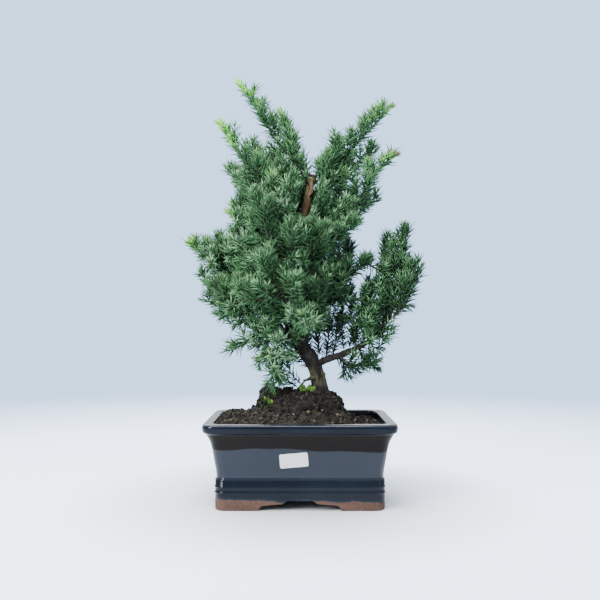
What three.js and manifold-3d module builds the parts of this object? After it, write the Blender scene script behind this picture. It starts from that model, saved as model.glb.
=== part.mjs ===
// Starter bonsai: a needle-leaved juniper in a glazed rectangular pot.
// Millimetres, +Z up, front towards -Y. The origin is on the ground under the middle of the pot.
import * as THREE from 'three';
import { mergeVertices } from 'three/addons/utils/BufferGeometryUtils.js';
import Module from 'manifold-3d';

const wasm = await Module();
wasm.setup();

// ---- Driving dimensions ----------------------------------------------------
const RIM_LENGTH = 155;
const RIM_DEPTH = 115;
const RIM_CORNER = 9.5;
const CORNER_SHRINK = 0.35;      // corner radius lost for each millimetre inside the rim
const LEAST_CORNER = 2;
const CORNER_STEPS = 3;

const FLOOR_UNDERSIDE = 9;
const FLOOR_TOP = 14;
const ARCH_HEIGHT = 8;
const ARCH_SPAN = 66;
const ARCH_APEX = 22;
const SIDE_ARCH_SCALE = 0.7;     // the short sides' arches against the long sides'

const DRAIN_DIAMETER = 12;
const DRAIN_PLACES = [-32, 32];
const SCREEN_SIDE = 26;
const SCREEN_THICKNESS = 1.2;
const SCREEN_CELLS = 3;
const SCREEN_BAR = 1.4;

const LABEL_LENGTH = 22.4;
const LABEL_HEIGHT = 11.3;
const LABEL_THICKNESS = 0.4;
const LABEL_CENTRE = { x: -4.8, z: 40 };
const LABEL_TILT = THREE.MathUtils.degToRad(-5);

const MOUND_BOTTOM = 25;
const SOIL_LEVEL = 63;
const SOIL_FALL_RIGHT = 0.035;   // the soil surface drops towards the right and the back
const SOIL_FALL_BACK = 0.02;

const GAP = 0.35;                // clearance between pieces that touch
const LEAF_GAP = 0.45;

// ---- Materials --------------------------------------------------------------
const finish = (color, roughness, metalness = 0) => ({ color, roughness, metalness });
const GLAZE = finish(0x19253a, 0.12);
const SOIL = finish(0x2b251f, 0.95);
const BARK = finish(0x4a3d31, 0.9);
const FOLIAGE = finish(0x2f6b48, 0.6);
const WEED = finish(0x5f9a35, 0.6);
const MOSS = finish(0x34502a, 0.95);
const SCREEN = finish(0x222222, 0.5);
const PAPER = finish(0xf2f2ef, 0.6);

// ---- Solids -----------------------------------------------------------------
function solidOf(geometry) {
  const bare = geometry.clone();
  bare.deleteAttribute('normal');
  bare.deleteAttribute('uv');
  const merged = mergeVertices(bare, 1e-4);
  return new wasm.Manifold(new wasm.Mesh({
    numProp: 3,
    vertProperties: new Float32Array(merged.attributes.position.array),
    triVerts: new Uint32Array(merged.index.array),
  }));
}

function geometryOf(solid) {
  const { vertProperties, triVerts, numProp } = solid.getMesh();
  const positions = [];
  for (let i = 0; i < vertProperties.length; i += numProp) {
    positions.push(vertProperties[i], vertProperties[i + 1], vertProperties[i + 2]);
  }
  const geometry = new THREE.BufferGeometry();
  geometry.setAttribute('position', new THREE.Float32BufferAttribute(positions, 3));
  geometry.setIndex([...triVerts]);
  geometry.computeVertexNormals();
  return geometry;
}

const unite = (solids) => solids.reduce((whole, piece) => whole.add(piece));
const cut = (solid, tools) => tools.reduce((whole, tool) => whole.subtract(tool), solid);
const largest = (solid) => solid.decompose().reduce((a, b) => (b.volume() > a.volume() ? b : a));

const bonsai = new THREE.Group();

function place(name, solid, material) {
  const mesh = new THREE.Mesh(geometryOf(solid), new THREE.MeshStandardMaterial(material));
  mesh.name = name;
  bonsai.add(mesh);
}

// A lathe whose four quarters are pulled apart into a rounded rectangle. Each profile point is
// [inset from the rim's outer face, height], and an inset of null lies on the axis.
function potLathe(profile, reshape = (x, y, z) => z) {
  const segments = 4 * (CORNER_STEPS + 1);
  const outline = profile.map(([inset, z]) => new THREE.Vector2(inset === null ? 0 : 1, z));
  const lathe = new THREE.LatheGeometry(outline, segments);
  const { position, uv } = lathe.attributes;
  for (let i = 0; i < position.count; i++) {
    const step = Math.round(uv.getX(i) * segments) % segments;
    const [inset, z] = profile[Math.round(uv.getY(i) * (profile.length - 1))];
    if (inset === null) {
      position.setXYZ(i, 0, 0, reshape(0, 0, z));
      continue;
    }
    const quarter = Math.floor(step / (CORNER_STEPS + 1));
    const turn = (quarter + (step % (CORNER_STEPS + 1)) / CORNER_STEPS) * Math.PI / 2;
    const corner = Math.max(LEAST_CORNER, RIM_CORNER - CORNER_SHRINK * inset);
    const signX = quarter === 0 || quarter === 3 ? 1 : -1;
    const signY = quarter < 2 ? 1 : -1;
    const x = signX * (RIM_LENGTH / 2 - inset - corner) + corner * Math.cos(turn);
    const y = signY * (RIM_DEPTH / 2 - inset - corner) + corner * Math.sin(turn);
    position.setXYZ(i, x, y, reshape(x, y, z));
  }
  const solid = solidOf(lathe);
  return solid.volume() > 0 ? solid : solidOf(flipped(lathe));
}

function flipped(geometry) {
  const turned = geometry.clone();
  const order = [...turned.index.array];
  for (let i = 0; i < order.length; i += 3) [order[i], order[i + 1]] = [order[i + 1], order[i]];
  turned.setIndex(order);
  return turned;
}

// A rod of changing radius bent along a curve. `grow` makes it fatter and longer, to cut room for it.
function bentRod({ curve, radius, rings, sides }, grow = 0) {
  const rod = new THREE.CylinderGeometry(1, 1, 1, sides, rings);
  const { tangents, normals, binormals } = curve.computeFrenetFrames(rings);
  const { position } = rod.attributes;
  for (let i = 0; i < position.count; i++) {
    const ring = Math.round((position.getY(i) + 0.5) * rings);
    const along = ring / rings;
    const reach = radius(along) + grow;
    const end = ring === 0 ? -grow : ring === rings ? grow : 0;
    const point = curve.getPointAt(along)
      .addScaledVector(tangents[ring], end)
      .addScaledVector(binormals[ring], position.getX(i) * reach)
      .addScaledVector(normals[ring], position.getZ(i) * reach);
    position.setXYZ(i, point.x, point.y, point.z);
  }
  return solidOf(rod);
}

const curveThrough = (points) => new THREE.CatmullRomCurve3(
  points.map((p) => (p.isVector3 ? p : new THREE.Vector3(...p))), false, 'centripetal');

function ball([x, y, z], [rx, ry, rz], grow = 0) {
  const lump = new THREE.IcosahedronGeometry(1, 1);
  lump.scale(rx + grow, ry + grow, rz + grow);
  lump.translate(x, y, z);
  return solidOf(lump);
}

function block(width, depth, bottom, top, x = 0) {
  const box = new THREE.BoxGeometry(width, depth, top - bottom);
  box.translate(x, 0, (top + bottom) / 2);
  return solidOf(box);
}

// ---- Pot --------------------------------------------------------------------
const OUTER_WALL = [
  [10.4, 0], [9.8, 0.8], [9.7, 13.2], [9.2, 13.9], [9.7, 14.6], [9.7, 17.6], [9.2, 18.3], [9.7, 19],
  [9.8, 23.8], [10.6, 24.8], [10.6, 28], [9.9, 33], [9.0, 38], [8.2, 43], [7.5, 47.8],
  [6.4, 52.8], [4.9, 56], [3.4, 58.6], [2.6, 60.6], [1.0, 61], [0.2, 62.6], [0, 65],
];
const RIM_TOP = [[0.35, 67.2], [1.4, 68.3], [3, 68.6], [6.8, 68.6], [8.1, 68.1], [8.5, 66.8]];
const INNER_WALL = [[9.2, 62], [11.5, 56], [13.4, 50], [14.4, 38], [15.2, 22], [17, 16], [22, FLOOR_TOP]];
const UNDERSIDE = [[null, FLOOR_UNDERSIDE], [22, FLOOR_UNDERSIDE], [19, 7.2], [18.4, 0.6], [17.8, 0]];

function archCutter(scale, length) {
  const foot = ARCH_SPAN / 2 * scale;
  const apex = ARCH_APEX / 2 * scale;
  const shoulder = (foot + apex) / 2;
  const shape = new THREE.Shape();
  shape.moveTo(-foot, -1);
  shape.lineTo(-foot, 0);
  shape.quadraticCurveTo(-foot + 1, ARCH_HEIGHT * 0.55, -shoulder, ARCH_HEIGHT * 0.6);
  shape.quadraticCurveTo(-apex - 2, ARCH_HEIGHT * 0.65, -apex, ARCH_HEIGHT);
  shape.lineTo(apex, ARCH_HEIGHT);
  shape.quadraticCurveTo(apex + 2, ARCH_HEIGHT * 0.65, shoulder, ARCH_HEIGHT * 0.6);
  shape.quadraticCurveTo(foot - 1, ARCH_HEIGHT * 0.55, foot, 0);
  shape.lineTo(foot, -1);
  const cutter = new THREE.ExtrudeGeometry(shape, { depth: length, bevelEnabled: false, curveSegments: 4 });
  cutter.translate(0, 0, -length / 2);
  cutter.rotateX(Math.PI / 2);
  return cutter;
}

function drainCutter(x) {
  const bore = new THREE.CylinderGeometry(DRAIN_DIAMETER / 2, DRAIN_DIAMETER / 2, 20, 20);
  bore.rotateX(Math.PI / 2);
  bore.translate(x, 0, FLOOR_TOP);
  return solidOf(bore);
}

function buildPot() {
  const body = potLathe([...UNDERSIDE, ...OUTER_WALL, ...RIM_TOP, ...INNER_WALL, [null, FLOOR_TOP]]);
  const longArch = solidOf(archCutter(1, RIM_DEPTH + 20));
  const sideArch = solidOf(archCutter(SIDE_ARCH_SCALE, RIM_LENGTH + 20).rotateZ(Math.PI / 2));
  place('pot', cut(body, [longArch, sideArch, ...DRAIN_PLACES.map(drainCutter)]), GLAZE);
}

function buildDrainScreen(name, x) {
  const base = FLOOR_TOP + GAP;
  const pitch = (SCREEN_SIDE - SCREEN_BAR) / SCREEN_CELLS;
  const cells = [];
  for (let i = 0; i < SCREEN_CELLS; i++) {
    for (let j = 0; j < SCREEN_CELLS; j++) {
      const cell = new THREE.BoxGeometry(pitch - SCREEN_BAR, pitch - SCREEN_BAR, 4 * SCREEN_THICKNESS);
      const middle = (SCREEN_CELLS - 1) / 2;
      cell.translate(x + (i - middle) * pitch, (j - middle) * pitch, base);
      cells.push(solidOf(cell));
    }
  }
  place(name, cut(block(SCREEN_SIDE, SCREEN_SIDE, base, base + SCREEN_THICKNESS, x), cells), SCREEN);
}

// ---- Blank label on the front wall -------------------------------------------
function wallInset(z) {
  const upper = OUTER_WALL.findIndex(([, height]) => height > z);
  const [lowInset, lowZ] = OUTER_WALL[upper - 1];
  const [highInset, highZ] = OUTER_WALL[upper];
  return THREE.MathUtils.mapLinear(z, lowZ, highZ, lowInset, highInset);
}

function buildLabel() {
  const [w, h, r] = [LABEL_LENGTH / 2, LABEL_HEIGHT / 2, 1.6];
  const shape = new THREE.Shape();
  shape.moveTo(-w + r, -h);
  shape.lineTo(w - r, -h);
  shape.absarc(w - r, -h + r, r, -Math.PI / 2, 0);
  shape.lineTo(w, h - r);
  shape.absarc(w - r, h - r, r, 0, Math.PI / 2);
  shape.lineTo(-w + r, h);
  shape.absarc(-w + r, h - r, r, Math.PI / 2, Math.PI);
  shape.lineTo(-w, -h + r);
  shape.absarc(-w + r, -h + r, r, Math.PI, Math.PI * 1.5);
  const sheet = new THREE.ExtrudeGeometry(shape, {
    depth: LABEL_THICKNESS, bevelEnabled: false, curveSegments: 3 });
  const low = LABEL_CENTRE.z - h - 1;
  const high = LABEL_CENTRE.z + h + 1;
  const lean = Math.atan2(wallInset(low) - wallInset(high), high - low);
  const wallY = -(RIM_DEPTH / 2 - (wallInset(low) + wallInset(high)) / 2);
  sheet.rotateZ(-LABEL_TILT);
  sheet.rotateX(Math.PI / 2 + lean);
  sheet.translate(LABEL_CENTRE.x, wallY - GAP, LABEL_CENTRE.z);
  place('number_label', solidOf(sheet), PAPER);
}

// ---- Root ball and soil --------------------------------------------------------
const MOUND_PROFILE = [[30, MOUND_BOTTOM], [36, 40], [38.5, 62], [38, 74], [35, 82], [28, 87], [15, 89.5]];
const MOUND_TOP = 90;
const LUMPS = [
  { at: [-28, -6, 86], size: [7, 8, 7.5] },
  { at: [-11, -4, 87], size: [7, 8, 8.5] },
  { at: [-2, -18, 84], size: [8, 7, 7] },
  { at: [25, 10, 81], size: [7, 8, 6.5] },
  { at: [8, 21, 84], size: [9, 8, 7.5] },
  { at: [-19, 20, 84], size: [9, 9, 8] },
];

function moundSolid(grow = 0) {
  const outline = [
    new THREE.Vector2(0, MOUND_BOTTOM - grow),
    ...MOUND_PROFILE.map(([r, z], i) => new THREE.Vector2(r + grow, i === 0 ? z - grow : z)),
    new THREE.Vector2(0, MOUND_TOP + grow),
  ];
  const mound = new THREE.LatheGeometry(outline, 20);
  mound.rotateX(Math.PI / 2);
  const core = solidOf(mound);
  const whole = core.volume() > 0 ? core : solidOf(flipped(mound));
  return unite([whole, ...LUMPS.map(({ at, size }) => ball(at, size, grow))]);
}

function buildSoil() {
  const walls = INNER_WALL.map(([inset, z]) => [inset + GAP, z + GAP]).reverse();
  const surface = [[11.2, SOIL_LEVEL - 1], [12.4, SOIL_LEVEL], [16, SOIL_LEVEL + 0.4], [24, SOIL_LEVEL]];
  const settle = (x, y, z) => {
    if (z < SOIL_LEVEL - 1.5) return z;
    return z - SOIL_FALL_RIGHT * x - SOIL_FALL_BACK * y + 0.5 * Math.sin(x / 7) * Math.cos(y / 6 + 1);
  };
  const profile = [[null, FLOOR_TOP + GAP], ...walls.slice(0, -1), ...surface, [null, SOIL_LEVEL]];
  const screens = DRAIN_PLACES.map((x) => block(
    SCREEN_SIDE + 2 * GAP, SCREEN_SIDE + 2 * GAP, 0, FLOOR_TOP + SCREEN_THICKNESS + 2 * GAP, x));
  place('soil_bed', cut(potLathe(profile, settle), [...screens, moundSolid(GAP)]), SOIL);
}

// ---- Wood ---------------------------------------------------------------------
// Each limb starts on the trunk's centreline, and the trunk is then cut out of it.
const trunkRadius = (t) => 6.9 - 3.6 * t ** 0.8 + 2.4 * Math.exp(-t / 0.05) + 0.5 * Math.exp((t - 1) / 0.02);
const TRUNK = {
  curve: curveThrough([[21, 2, 66], [19, 1, 82], [15, 0, 103], [10, 0, 116], [2, 0, 127], [-4, 0, 146],
    [-5.5, 0, 167], [-3, 0, 193], [0.4, 0, 218], [3.4, 0, 240], [11.5, 0, 276]]),
  radius: trunkRadius, rings: 20, sides: 9,
};
const ROOTS = [
  { points: [[19, 1, 88], [27, -6, 83], [33, -10, 76]], thick: 4.2, thin: 2 },
  { points: [[18, 0, 88], [12, -12, 86], [8, -20, 80]], thick: 4, thin: 2 },
  { points: [[20, 2, 88], [24, 12, 84], [26, 20, 76]], thick: 4, thin: 2 },
  { points: [[13, -3, 104], [4, -9, 99], [-3, -11, 92], [-5, -12, 86]], thick: 1.3, thin: 0.9 },
];
const LIMBS = {
  right_low: { points: [[11, 0, 112], [20, -4, 116], [38, -10, 123], [58, -17, 133], [70, -20, 146], [76, -22, 162]], thick: 3.6, thin: 1.8 },
  left_low: { points: [[0, 0, 130], [-10, 3, 139], [-24, 8, 150], [-42, 15, 167], [-58, 20, 182], [-70, 21, 194]], thick: 3.2, thin: 1.4 },
  front_low: { points: [[-4, 0, 150], [-4, -13, 154], [-7, -28, 160], [-14, -40, 172]], thick: 2.6, thin: 1.3 },
  front_mid: { points: [[-4, 0, 184], [-7, -13, 192], [-15, -27, 201], [-24, -38, 214]], thick: 2.4, thin: 1.2 },
  right_mid: { points: [[-4, 0, 143], [6, 3, 147], [18, 0, 157], [28, -4, 170], [34, -8, 182]], thick: 2.6, thin: 1.2 },
  right_high: { points: [[-2, 0, 200], [8, -2, 210], [18, -4, 220], [30, -6, 232]], thick: 2.4, thin: 1.2 },
  left_mid: { points: [[-5, 0, 178], [-14, 3, 193], [-26, 7, 212], [-37, 12, 232]], thick: 2.6, thin: 1.2 },
  back_low: { points: [[-5, 0, 158], [-6, 15, 167], [-13, 31, 181], [-20, 45, 199]], thick: 2.8, thin: 1.3 },
};

const taperedRod = ({ points, thick, thin }, rings = 7, sides = 6) => ({
  curve: curveThrough(points),
  radius: (t) => THREE.MathUtils.lerp(thick, thin, t), rings, sides,
});

const trunkSolid = (grow = 0) => unite([
  bentRod(TRUNK, grow), ...ROOTS.map((root) => bentRod(taperedRod(root, 4, 6), grow))]);

// ---- Foliage sprays ---------------------------------------------------------------
// from: the limb and the share of its length where the spray leaves it; through: points that it
// grows past; tip: its end; reach: how far its needles stand out around its stem.
const SPRAYS = {
  leader_left: { from: ['trunk', 0.985], through: [[-4, -2, 284], [-14, -3, 296], [-27, -4, 315], [-38, -5, 331]], tip: [-50, -5, 352], reach: 8.5 },
  leader_left_side: { from: ['trunk', 0.95], through: [[-1, -12, 278], [-9, -16, 298]], tip: [-15, -17, 324], reach: 8 },
  leader_right: { from: ['trunk', 0.94], through: [[24, -2, 274], [36, -4, 287], [47, -5, 299], [58, -5, 311]], tip: [76, -5, 333], reach: 8.5 },
  leader_right_inner: { from: ['trunk', 0.89], through: [[16, -9, 262], [26, -13, 279]], tip: [30, -14, 303], reach: 8 },
  leader_right_back: { from: ['trunk', 0.87], through: [[22, 11, 264], [40, 16, 279], [54, 16, 290]], tip: [68, 17, 302], reach: 9 },
  crown_left_top: { from: ['trunk', 0.76], through: [[-7, 7, 240], [-17, 11, 263]], tip: [-27, 12, 292], reach: 10 },
  crown_centre: { from: ['trunk', 0.79], through: [[-4, -13, 238], [-6, -19, 250]], tip: [-9, -21, 269], reach: 9 },
  left_bright_tip: { from: ['trunk', 0.74], through: [[-12, -15, 236], [-26, -23, 256], [-49, -27, 285]], tip: [-64, -28, 312], reach: 10 },
  left_upper: { from: ['trunk', 0.8], through: [[-13, -5, 250], [-29, -7, 272]], tip: [-43, -9, 299], reach: 9 },
  left_shoulder: { from: ['left_mid', 0.9], through: [[-44, 18, 252], [-54, 20, 271]], tip: [-66, 20, 286], reach: 9.5 },
  left_outer: { from: ['left_mid', 0.55], through: [[-34, -4, 217], [-46, -9, 228]], tip: [-58, -11, 242], reach: 9.5 },
  front_upper: { from: ['front_mid', 1], through: [[-29, -42, 227]], tip: [-36, -46, 250], reach: 10.5 },
  front_star_high: { from: ['front_mid', 0.6], through: [[-9, -40, 205]], tip: [-6, -58, 222], reach: 9.5 },
  front_star_mid: { from: ['front_low', 0.7], through: [[-5, -46, 169]], tip: [-4, -66, 178], reach: 10 },
  front_star_low: { from: ['front_low', 0.4], through: [[1, -38, 152]], tip: [5, -60, 150], reach: 9 },
  front_fan: { from: ['front_low', 1], through: [[-22, -47, 183]], tip: [-32, -56, 197], reach: 10.5 },
  front_lower_left: { from: ['front_low', 0.9], through: [[-30, -43, 167]], tip: [-52, -48, 172], reach: 10.5 },
  left_low_front: { from: ['left_low', 0.45], through: [[-42, -9, 160], [-58, -20, 169]], tip: [-79, -22, 182], reach: 9 },
  left_skirt: { from: ['left_low', 0.25], through: [[-26, -12, 142], [-41, -18, 135]], tip: [-58, -18, 128], reach: 7.5 },
  droop_centre: { from: ['left_low', 0.12], through: [[-12, -13, 132], [-21, -23, 116]], tip: [-20, -24, 93], reach: 8.5 },
  droop_left: { from: ['left_low', 0.32], through: [[-27, -4, 134], [-32, -9, 122]], tip: [-35, -10, 110], reach: 7.5 },
  left_tip: { from: ['left_low', 1], through: [[-84, 22, 207]], tip: [-99, 22, 217], reach: 9.5 },
  left_upright: { from: ['left_low', 0.8], through: [[-66, 9, 200]], tip: [-70, 6, 220], reach: 8.5 },
  left_low_back: { from: ['left_low', 0.5], through: [[-52, 12, 158], [-66, 9, 162]], tip: [-85, 8, 170], reach: 8.5 },
  left_rear: { from: ['left_low', 0.6], through: [[-50, 34, 184], [-60, 42, 200]], tip: [-68, 46, 222], reach: 11.5 },
  right_high_tip: { from: ['right_high', 1], through: [[42, -8, 242], [52, -9, 255], [65, -10, 277]], tip: [80, -10, 288], reach: 8.5 },
  right_shoulder: { from: ['right_high', 0.9], through: [[42, 6, 236], [54, 11, 247]], tip: [68, 12, 257], reach: 8 },
  right_front: { from: ['right_high', 0.45], through: [[22, -17, 213], [37, -24, 222]], tip: [51, -26, 232], reach: 8.5 },
  right_crown: { from: ['right_high', 0.35], through: [[15, -19, 235]], tip: [20, -29, 262], reach: 10 },
  right_front_fan: { from: ['front_mid', 0.3], through: [[8, -28, 202]], tip: [22, -44, 222], reach: 10 },
  right_mid_tip: { from: ['right_mid', 1], through: [[45, -16, 190]], tip: [58, -18, 198], reach: 8.5 },
  right_mid_front: { from: ['right_mid', 0.4], through: [[16, -22, 168]], tip: [23, -44, 186], reach: 10 },
  right_mid_back: { from: ['right_mid', 0.3], through: [[28, 20, 166], [41, 32, 190]], tip: [43, 36, 226], reach: 7.5 },
  right_backlit: { from: ['right_mid', 0.15], through: [[22, 22, 142]], tip: [42, 32, 150], reach: 6 },
  right_limb_tip: { from: ['right_low', 1], through: [[81, -22, 182], [85, -22, 204]], tip: [89, -22, 229], reach: 9 },
  right_limb_inner: { from: ['right_low', 0.86], through: [[69, -12, 172], [74, -9, 196]], tip: [75, -8, 218], reach: 10 },
  right_limb_outer: { from: ['right_low', 0.8], through: [[80, -30, 155], [91, -30, 176]], tip: [99, -30, 195], reach: 10 },
  right_limb_gap: { from: ['right_low', 0.6], through: [[58, -9, 152]], tip: [58, -5, 186], reach: 8.5 },
  right_droop: { from: ['right_low', 0.25], through: [[40, -15, 114], [54, -19, 114]], tip: [65, -21, 118], reach: 7 },
  back_left: { from: ['back_low', 0.85], through: [[-32, 50, 190]], tip: [-50, 61, 202], reach: 11.5 },
  back_centre: { from: ['back_low', 1], through: [[-20, 54, 214]], tip: [-22, 66, 236], reach: 11.5 },
  back_right: { from: ['back_low', 0.55], through: [[0, 42, 182]], tip: [8, 66, 192], reach: 11.5 },
  back_crown: { from: ['trunk', 0.68], through: [[4, 20, 226], [8, 38, 246]], tip: [2, 48, 274], reach: 10.5 },
};

// ---- Weeds and moss on the root ball ---------------------------------------------
const WEED_CLUMP = [{ at: [3, -25, 91], size: [5, 4, 3.5] }, { at: [9, -23, 91.5], size: [4.5, 4, 4] }];
const MOSS_CUSHION = [{ at: [-33, -14, 75], size: [6, 10, 7] }, { at: [-27, -22, 78], size: [7, 7, 5] }];

buildPot();
DRAIN_PLACES.forEach((x) => buildDrainScreen(x < 0 ? 'drain_screen_left' : 'drain_screen_right', x));
buildSoil();
buildLabel();

const trunkRoom = trunkSolid(GAP);
place('root_ball', largest(moundSolid().subtract(trunkRoom)), SOIL);
place('trunk', trunkSolid(), BARK);
const groundCover = { weed_clump: [WEED_CLUMP, WEED], moss_cushion: [MOSS_CUSHION, MOSS] };
for (const [name, [lumps, material]] of Object.entries(groundCover)) {
  const cushion = unite(lumps.map(({ at, size }) => ball(at, size)));
  place(name, largest(cut(cushion, [moundSolid(GAP), trunkRoom])), material);
}

const rods = { trunk: TRUNK };
const taken = [trunkRoom, moundSolid(GAP)];
for (const [name, limb] of Object.entries(LIMBS)) {
  rods[name] = taperedRod(limb);
  place(`limb_${name}`, largest(cut(bentRod(rods[name]), taken)), BARK);
  taken.push(bentRod(rods[name], GAP));
}
for (const [name, { from: [limb, share], through, tip, reach }] of Object.entries(SPRAYS)) {
  const spray = {
    curve: curveThrough([rods[limb].curve.getPointAt(share), ...through, tip]),
    radius: (t) => reach * Math.sin(Math.PI * (0.1 + 0.86 * t)) ** 0.7, rings: 6, sides: 6,
  };
  place(`spray_${name}`, largest(cut(bentRod(spray), taken)), FOLIAGE);
  taken.push(bentRod(spray, LEAF_GAP));
}

export default bonsai;
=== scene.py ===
"""A starter bonsai: a needle-leaved juniper in a glazed rectangular pot, built round its CAD frame."""
import math

import bmesh
import bpy
import numpy as np
from mathutils import Matrix, Vector, noise
from mathutils.bvhtree import BVHTree
from mathutils.kdtree import KDTree


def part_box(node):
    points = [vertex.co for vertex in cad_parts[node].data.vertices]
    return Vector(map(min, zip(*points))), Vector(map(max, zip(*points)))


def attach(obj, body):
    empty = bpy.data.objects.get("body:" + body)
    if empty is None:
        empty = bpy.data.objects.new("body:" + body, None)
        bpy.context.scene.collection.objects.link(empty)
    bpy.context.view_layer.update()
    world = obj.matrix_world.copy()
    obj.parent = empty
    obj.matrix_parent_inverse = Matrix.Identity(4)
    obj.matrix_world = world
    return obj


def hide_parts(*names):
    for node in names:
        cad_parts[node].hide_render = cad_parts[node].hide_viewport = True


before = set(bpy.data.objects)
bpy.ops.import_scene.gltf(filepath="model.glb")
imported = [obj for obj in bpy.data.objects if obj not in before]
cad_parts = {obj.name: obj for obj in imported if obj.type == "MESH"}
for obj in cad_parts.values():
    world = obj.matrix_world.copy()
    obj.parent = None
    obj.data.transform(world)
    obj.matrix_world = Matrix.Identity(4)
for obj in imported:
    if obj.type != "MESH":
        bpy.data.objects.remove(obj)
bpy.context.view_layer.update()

bl_info = {
    "name": "Potted Juniper Bonsai",
    "version": (1, 0, 0),
    "blender": (4, 5, 0),
    "location": "View3D > Sidebar > Bonsai",
    "description": "Models the pot, soil, wood and needles of a starter bonsai on its CAD frame",
    "category": "Object",
}

MM = 0.001
BODY = "root"
MAP_NAME = "OFBake"
GOLDEN_TURN = math.pi * (3 - math.sqrt(5))


def corners_of(node):
    """The lowest and highest corners of a CAD node."""
    return [Vector(corner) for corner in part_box(node)]


POT_LOW, POT_HIGH = corners_of("pot")
SOIL_LOW, SOIL_HIGH = corners_of("soil_bed")
TRUNK_LOW, TRUNK_HIGH = corners_of("trunk")
BALL_HIGH = corners_of("root_ball")[1]


def clamped(share):
    return min(max(share, 0), 1)


def srgb(red, green, blue):
    """A display colour from 0 to 255 as the linear values that shaders take."""
    def linear(value):
        value /= 255
        return value / 12.92 if value <= 0.04045 else ((value + 0.055) / 1.055) ** 2.4
    return (linear(red), linear(green), linear(blue), 1.0)


# ---- Settings ----------------------------------------------------------------

def colour_setting(name, description, display):
    return bpy.props.FloatVectorProperty(
        name=name, description=description, subtype="COLOR", size=4, min=0, max=1, default=srgb(*display))


def length_setting(name, description, millimetres):
    return bpy.props.FloatProperty(
        name=name, description=description, unit="LENGTH", default=millimetres * MM)


class BonsaiPotSettings(bpy.types.PropertyGroup):
    """Sizes and colours of the pot and its label."""
    arch_span: length_setting("Arch span", "Width of the long sides' arches at the floor", 66)
    arch_height: length_setting("Arch height", "Height of the arches between the feet", 8)
    drain_diameter: length_setting("Drain diameter", "Width of the two drain holes", 12)
    glaze_edge: length_setting("Glaze edge", "Height above the ground where the glaze stops", 7.5)
    glaze: colour_setting("Glaze", "Colour of the glaze", (11, 18, 29))
    # Painted reflection: the flat walls' paler navy stands in for the pale room reflected in them.
    glaze_flat_painted_reflection: colour_setting("Flat glaze", "Colour of the glaze on the flat walls", (15, 27, 45))
    glaze_thin: colour_setting("Thin glaze", "Colour where the glaze is thin", (40, 48, 62))
    # Painted reflection: this dark brown under the rim stands in for dark surroundings reflected there and
    # the shade under the rim.
    glaze_painted_reflection: colour_setting("Pooled glaze", "Colour where the glaze pools under the rim", (15, 9, 9))
    clay: colour_setting("Clay", "Colour of the bare fired clay", (106, 84, 74))
    clay_dark: colour_setting("Dark clay", "Colour of the clay's dark grains", (82, 58, 51))
    label: colour_setting("Label", "Colour of the blank label", (240, 242, 240))
    label_dull: colour_setting("Dull label", "Colour where the label is dusty", (226, 229, 228))
    screen: colour_setting("Screen", "Colour of the drain screens", (24, 24, 26))
    screen_dust: colour_setting("Screen dust", "Colour of the dust on the drain screens", (70, 62, 52))


class BonsaiGroundSettings(bpy.types.PropertyGroup):
    """Soil, moss and weeds."""
    crumb_size: length_setting("Crumb size", "Mean size of the soil crumbs", 1.6)
    bed_crumbs: bpy.props.IntProperty(
        name="Bed crumbs", description="Crumbs lying on the soil bed", default=4200)
    mound_crumbs: bpy.props.IntProperty(
        name="Mound crumbs", description="Crumbs clinging to the root ball", default=4200)
    moss_reach: length_setting("Moss reach", "Radius of the moss on the mound's shoulder", 11)
    moss_leaves: bpy.props.IntProperty(name="Moss leaves", description="Leaves in the moss", default=1100)
    soil_dark: colour_setting("Damp soil", "Colour of damp peat", (30, 27, 25))
    soil_light: colour_setting("Dry soil", "Colour of dry crumbs", (90, 84, 70))
    moss: colour_setting("Moss", "Colour of the moss", (62, 78, 40))
    moss_dark: colour_setting("Dark moss", "Colour of the moss in its shade", (26, 38, 16))
    weed: colour_setting("Weed", "Colour of the weeds' leaves", (116, 150, 62))
    weed_dark: colour_setting("Dark weed", "Colour of the weeds' older leaves", (66, 104, 38))


class BonsaiTreeSettings(bpy.types.PropertyGroup):
    """Needles, shoots and bark."""
    needle_length: length_setting("Needle length", "Length of a grown needle", 10.4)
    needle_width: length_setting("Needle width", "Width of a grown needle", 1.4)
    whorl_spacing: length_setting("Whorl spacing", "Distance between whorls of three needles", 2.4)
    shoot_spacing: length_setting("Shoot spacing", "Distance between side shoots along a spray", 5.2)
    twig_spacing: length_setting("Twig spacing", "Length of side shoot for each twig on it", 8)
    bark_dark: colour_setting("Dark bark", "Colour of bark in its cracks", (24, 20, 20))
    bark_light: colour_setting("Light bark", "Colour of the bark's flakes", (70, 64, 59))
    sapwood: colour_setting("Sapwood", "Colour of the smooth olive-brown wood", (116, 116, 84))
    heartwood: colour_setting("Heartwood", "Colour of the pale wood on the sawn stub", (230, 192, 144))


def pot_settings():
    return bpy.context.scene.bonsai_pot


def ground_settings():
    return bpy.context.scene.bonsai_ground


def tree_settings():
    return bpy.context.scene.bonsai_tree


# ---- Meshes ------------------------------------------------------------------

def place_object(name, data):
    """A new object at the origin, linked to the scene."""
    item = bpy.data.objects.new(name, data)
    bpy.context.scene.collection.objects.link(item)
    return item


def finish_piece(name, mesh, material, replaces=(), smooth_angle=None):
    """Links a mesh as one named piece of the bonsai, riding on its CAD body."""
    mesh.materials.clear()
    mesh.materials.append(material)
    mesh.shade_smooth()
    if smooth_angle is not None:
        mesh.set_sharp_from_angle(angle=math.radians(smooth_angle))
    piece = place_object(name, mesh)
    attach(piece, BODY)
    if replaces:
        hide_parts(*replaces)
    return piece


def mesh_of(shape, name):
    """Turns a bmesh into a mesh and frees it."""
    mesh = bpy.data.meshes.new(name)
    shape.to_mesh(mesh)
    shape.free()
    return mesh


def node_copy(node):
    """A bmesh of a CAD node with its loose triangles merged."""
    shape = bmesh.new()
    shape.from_mesh(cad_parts[node].data)
    bmesh.ops.remove_doubles(shape, verts=shape.verts, dist=0.02 * MM)
    return shape


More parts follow.
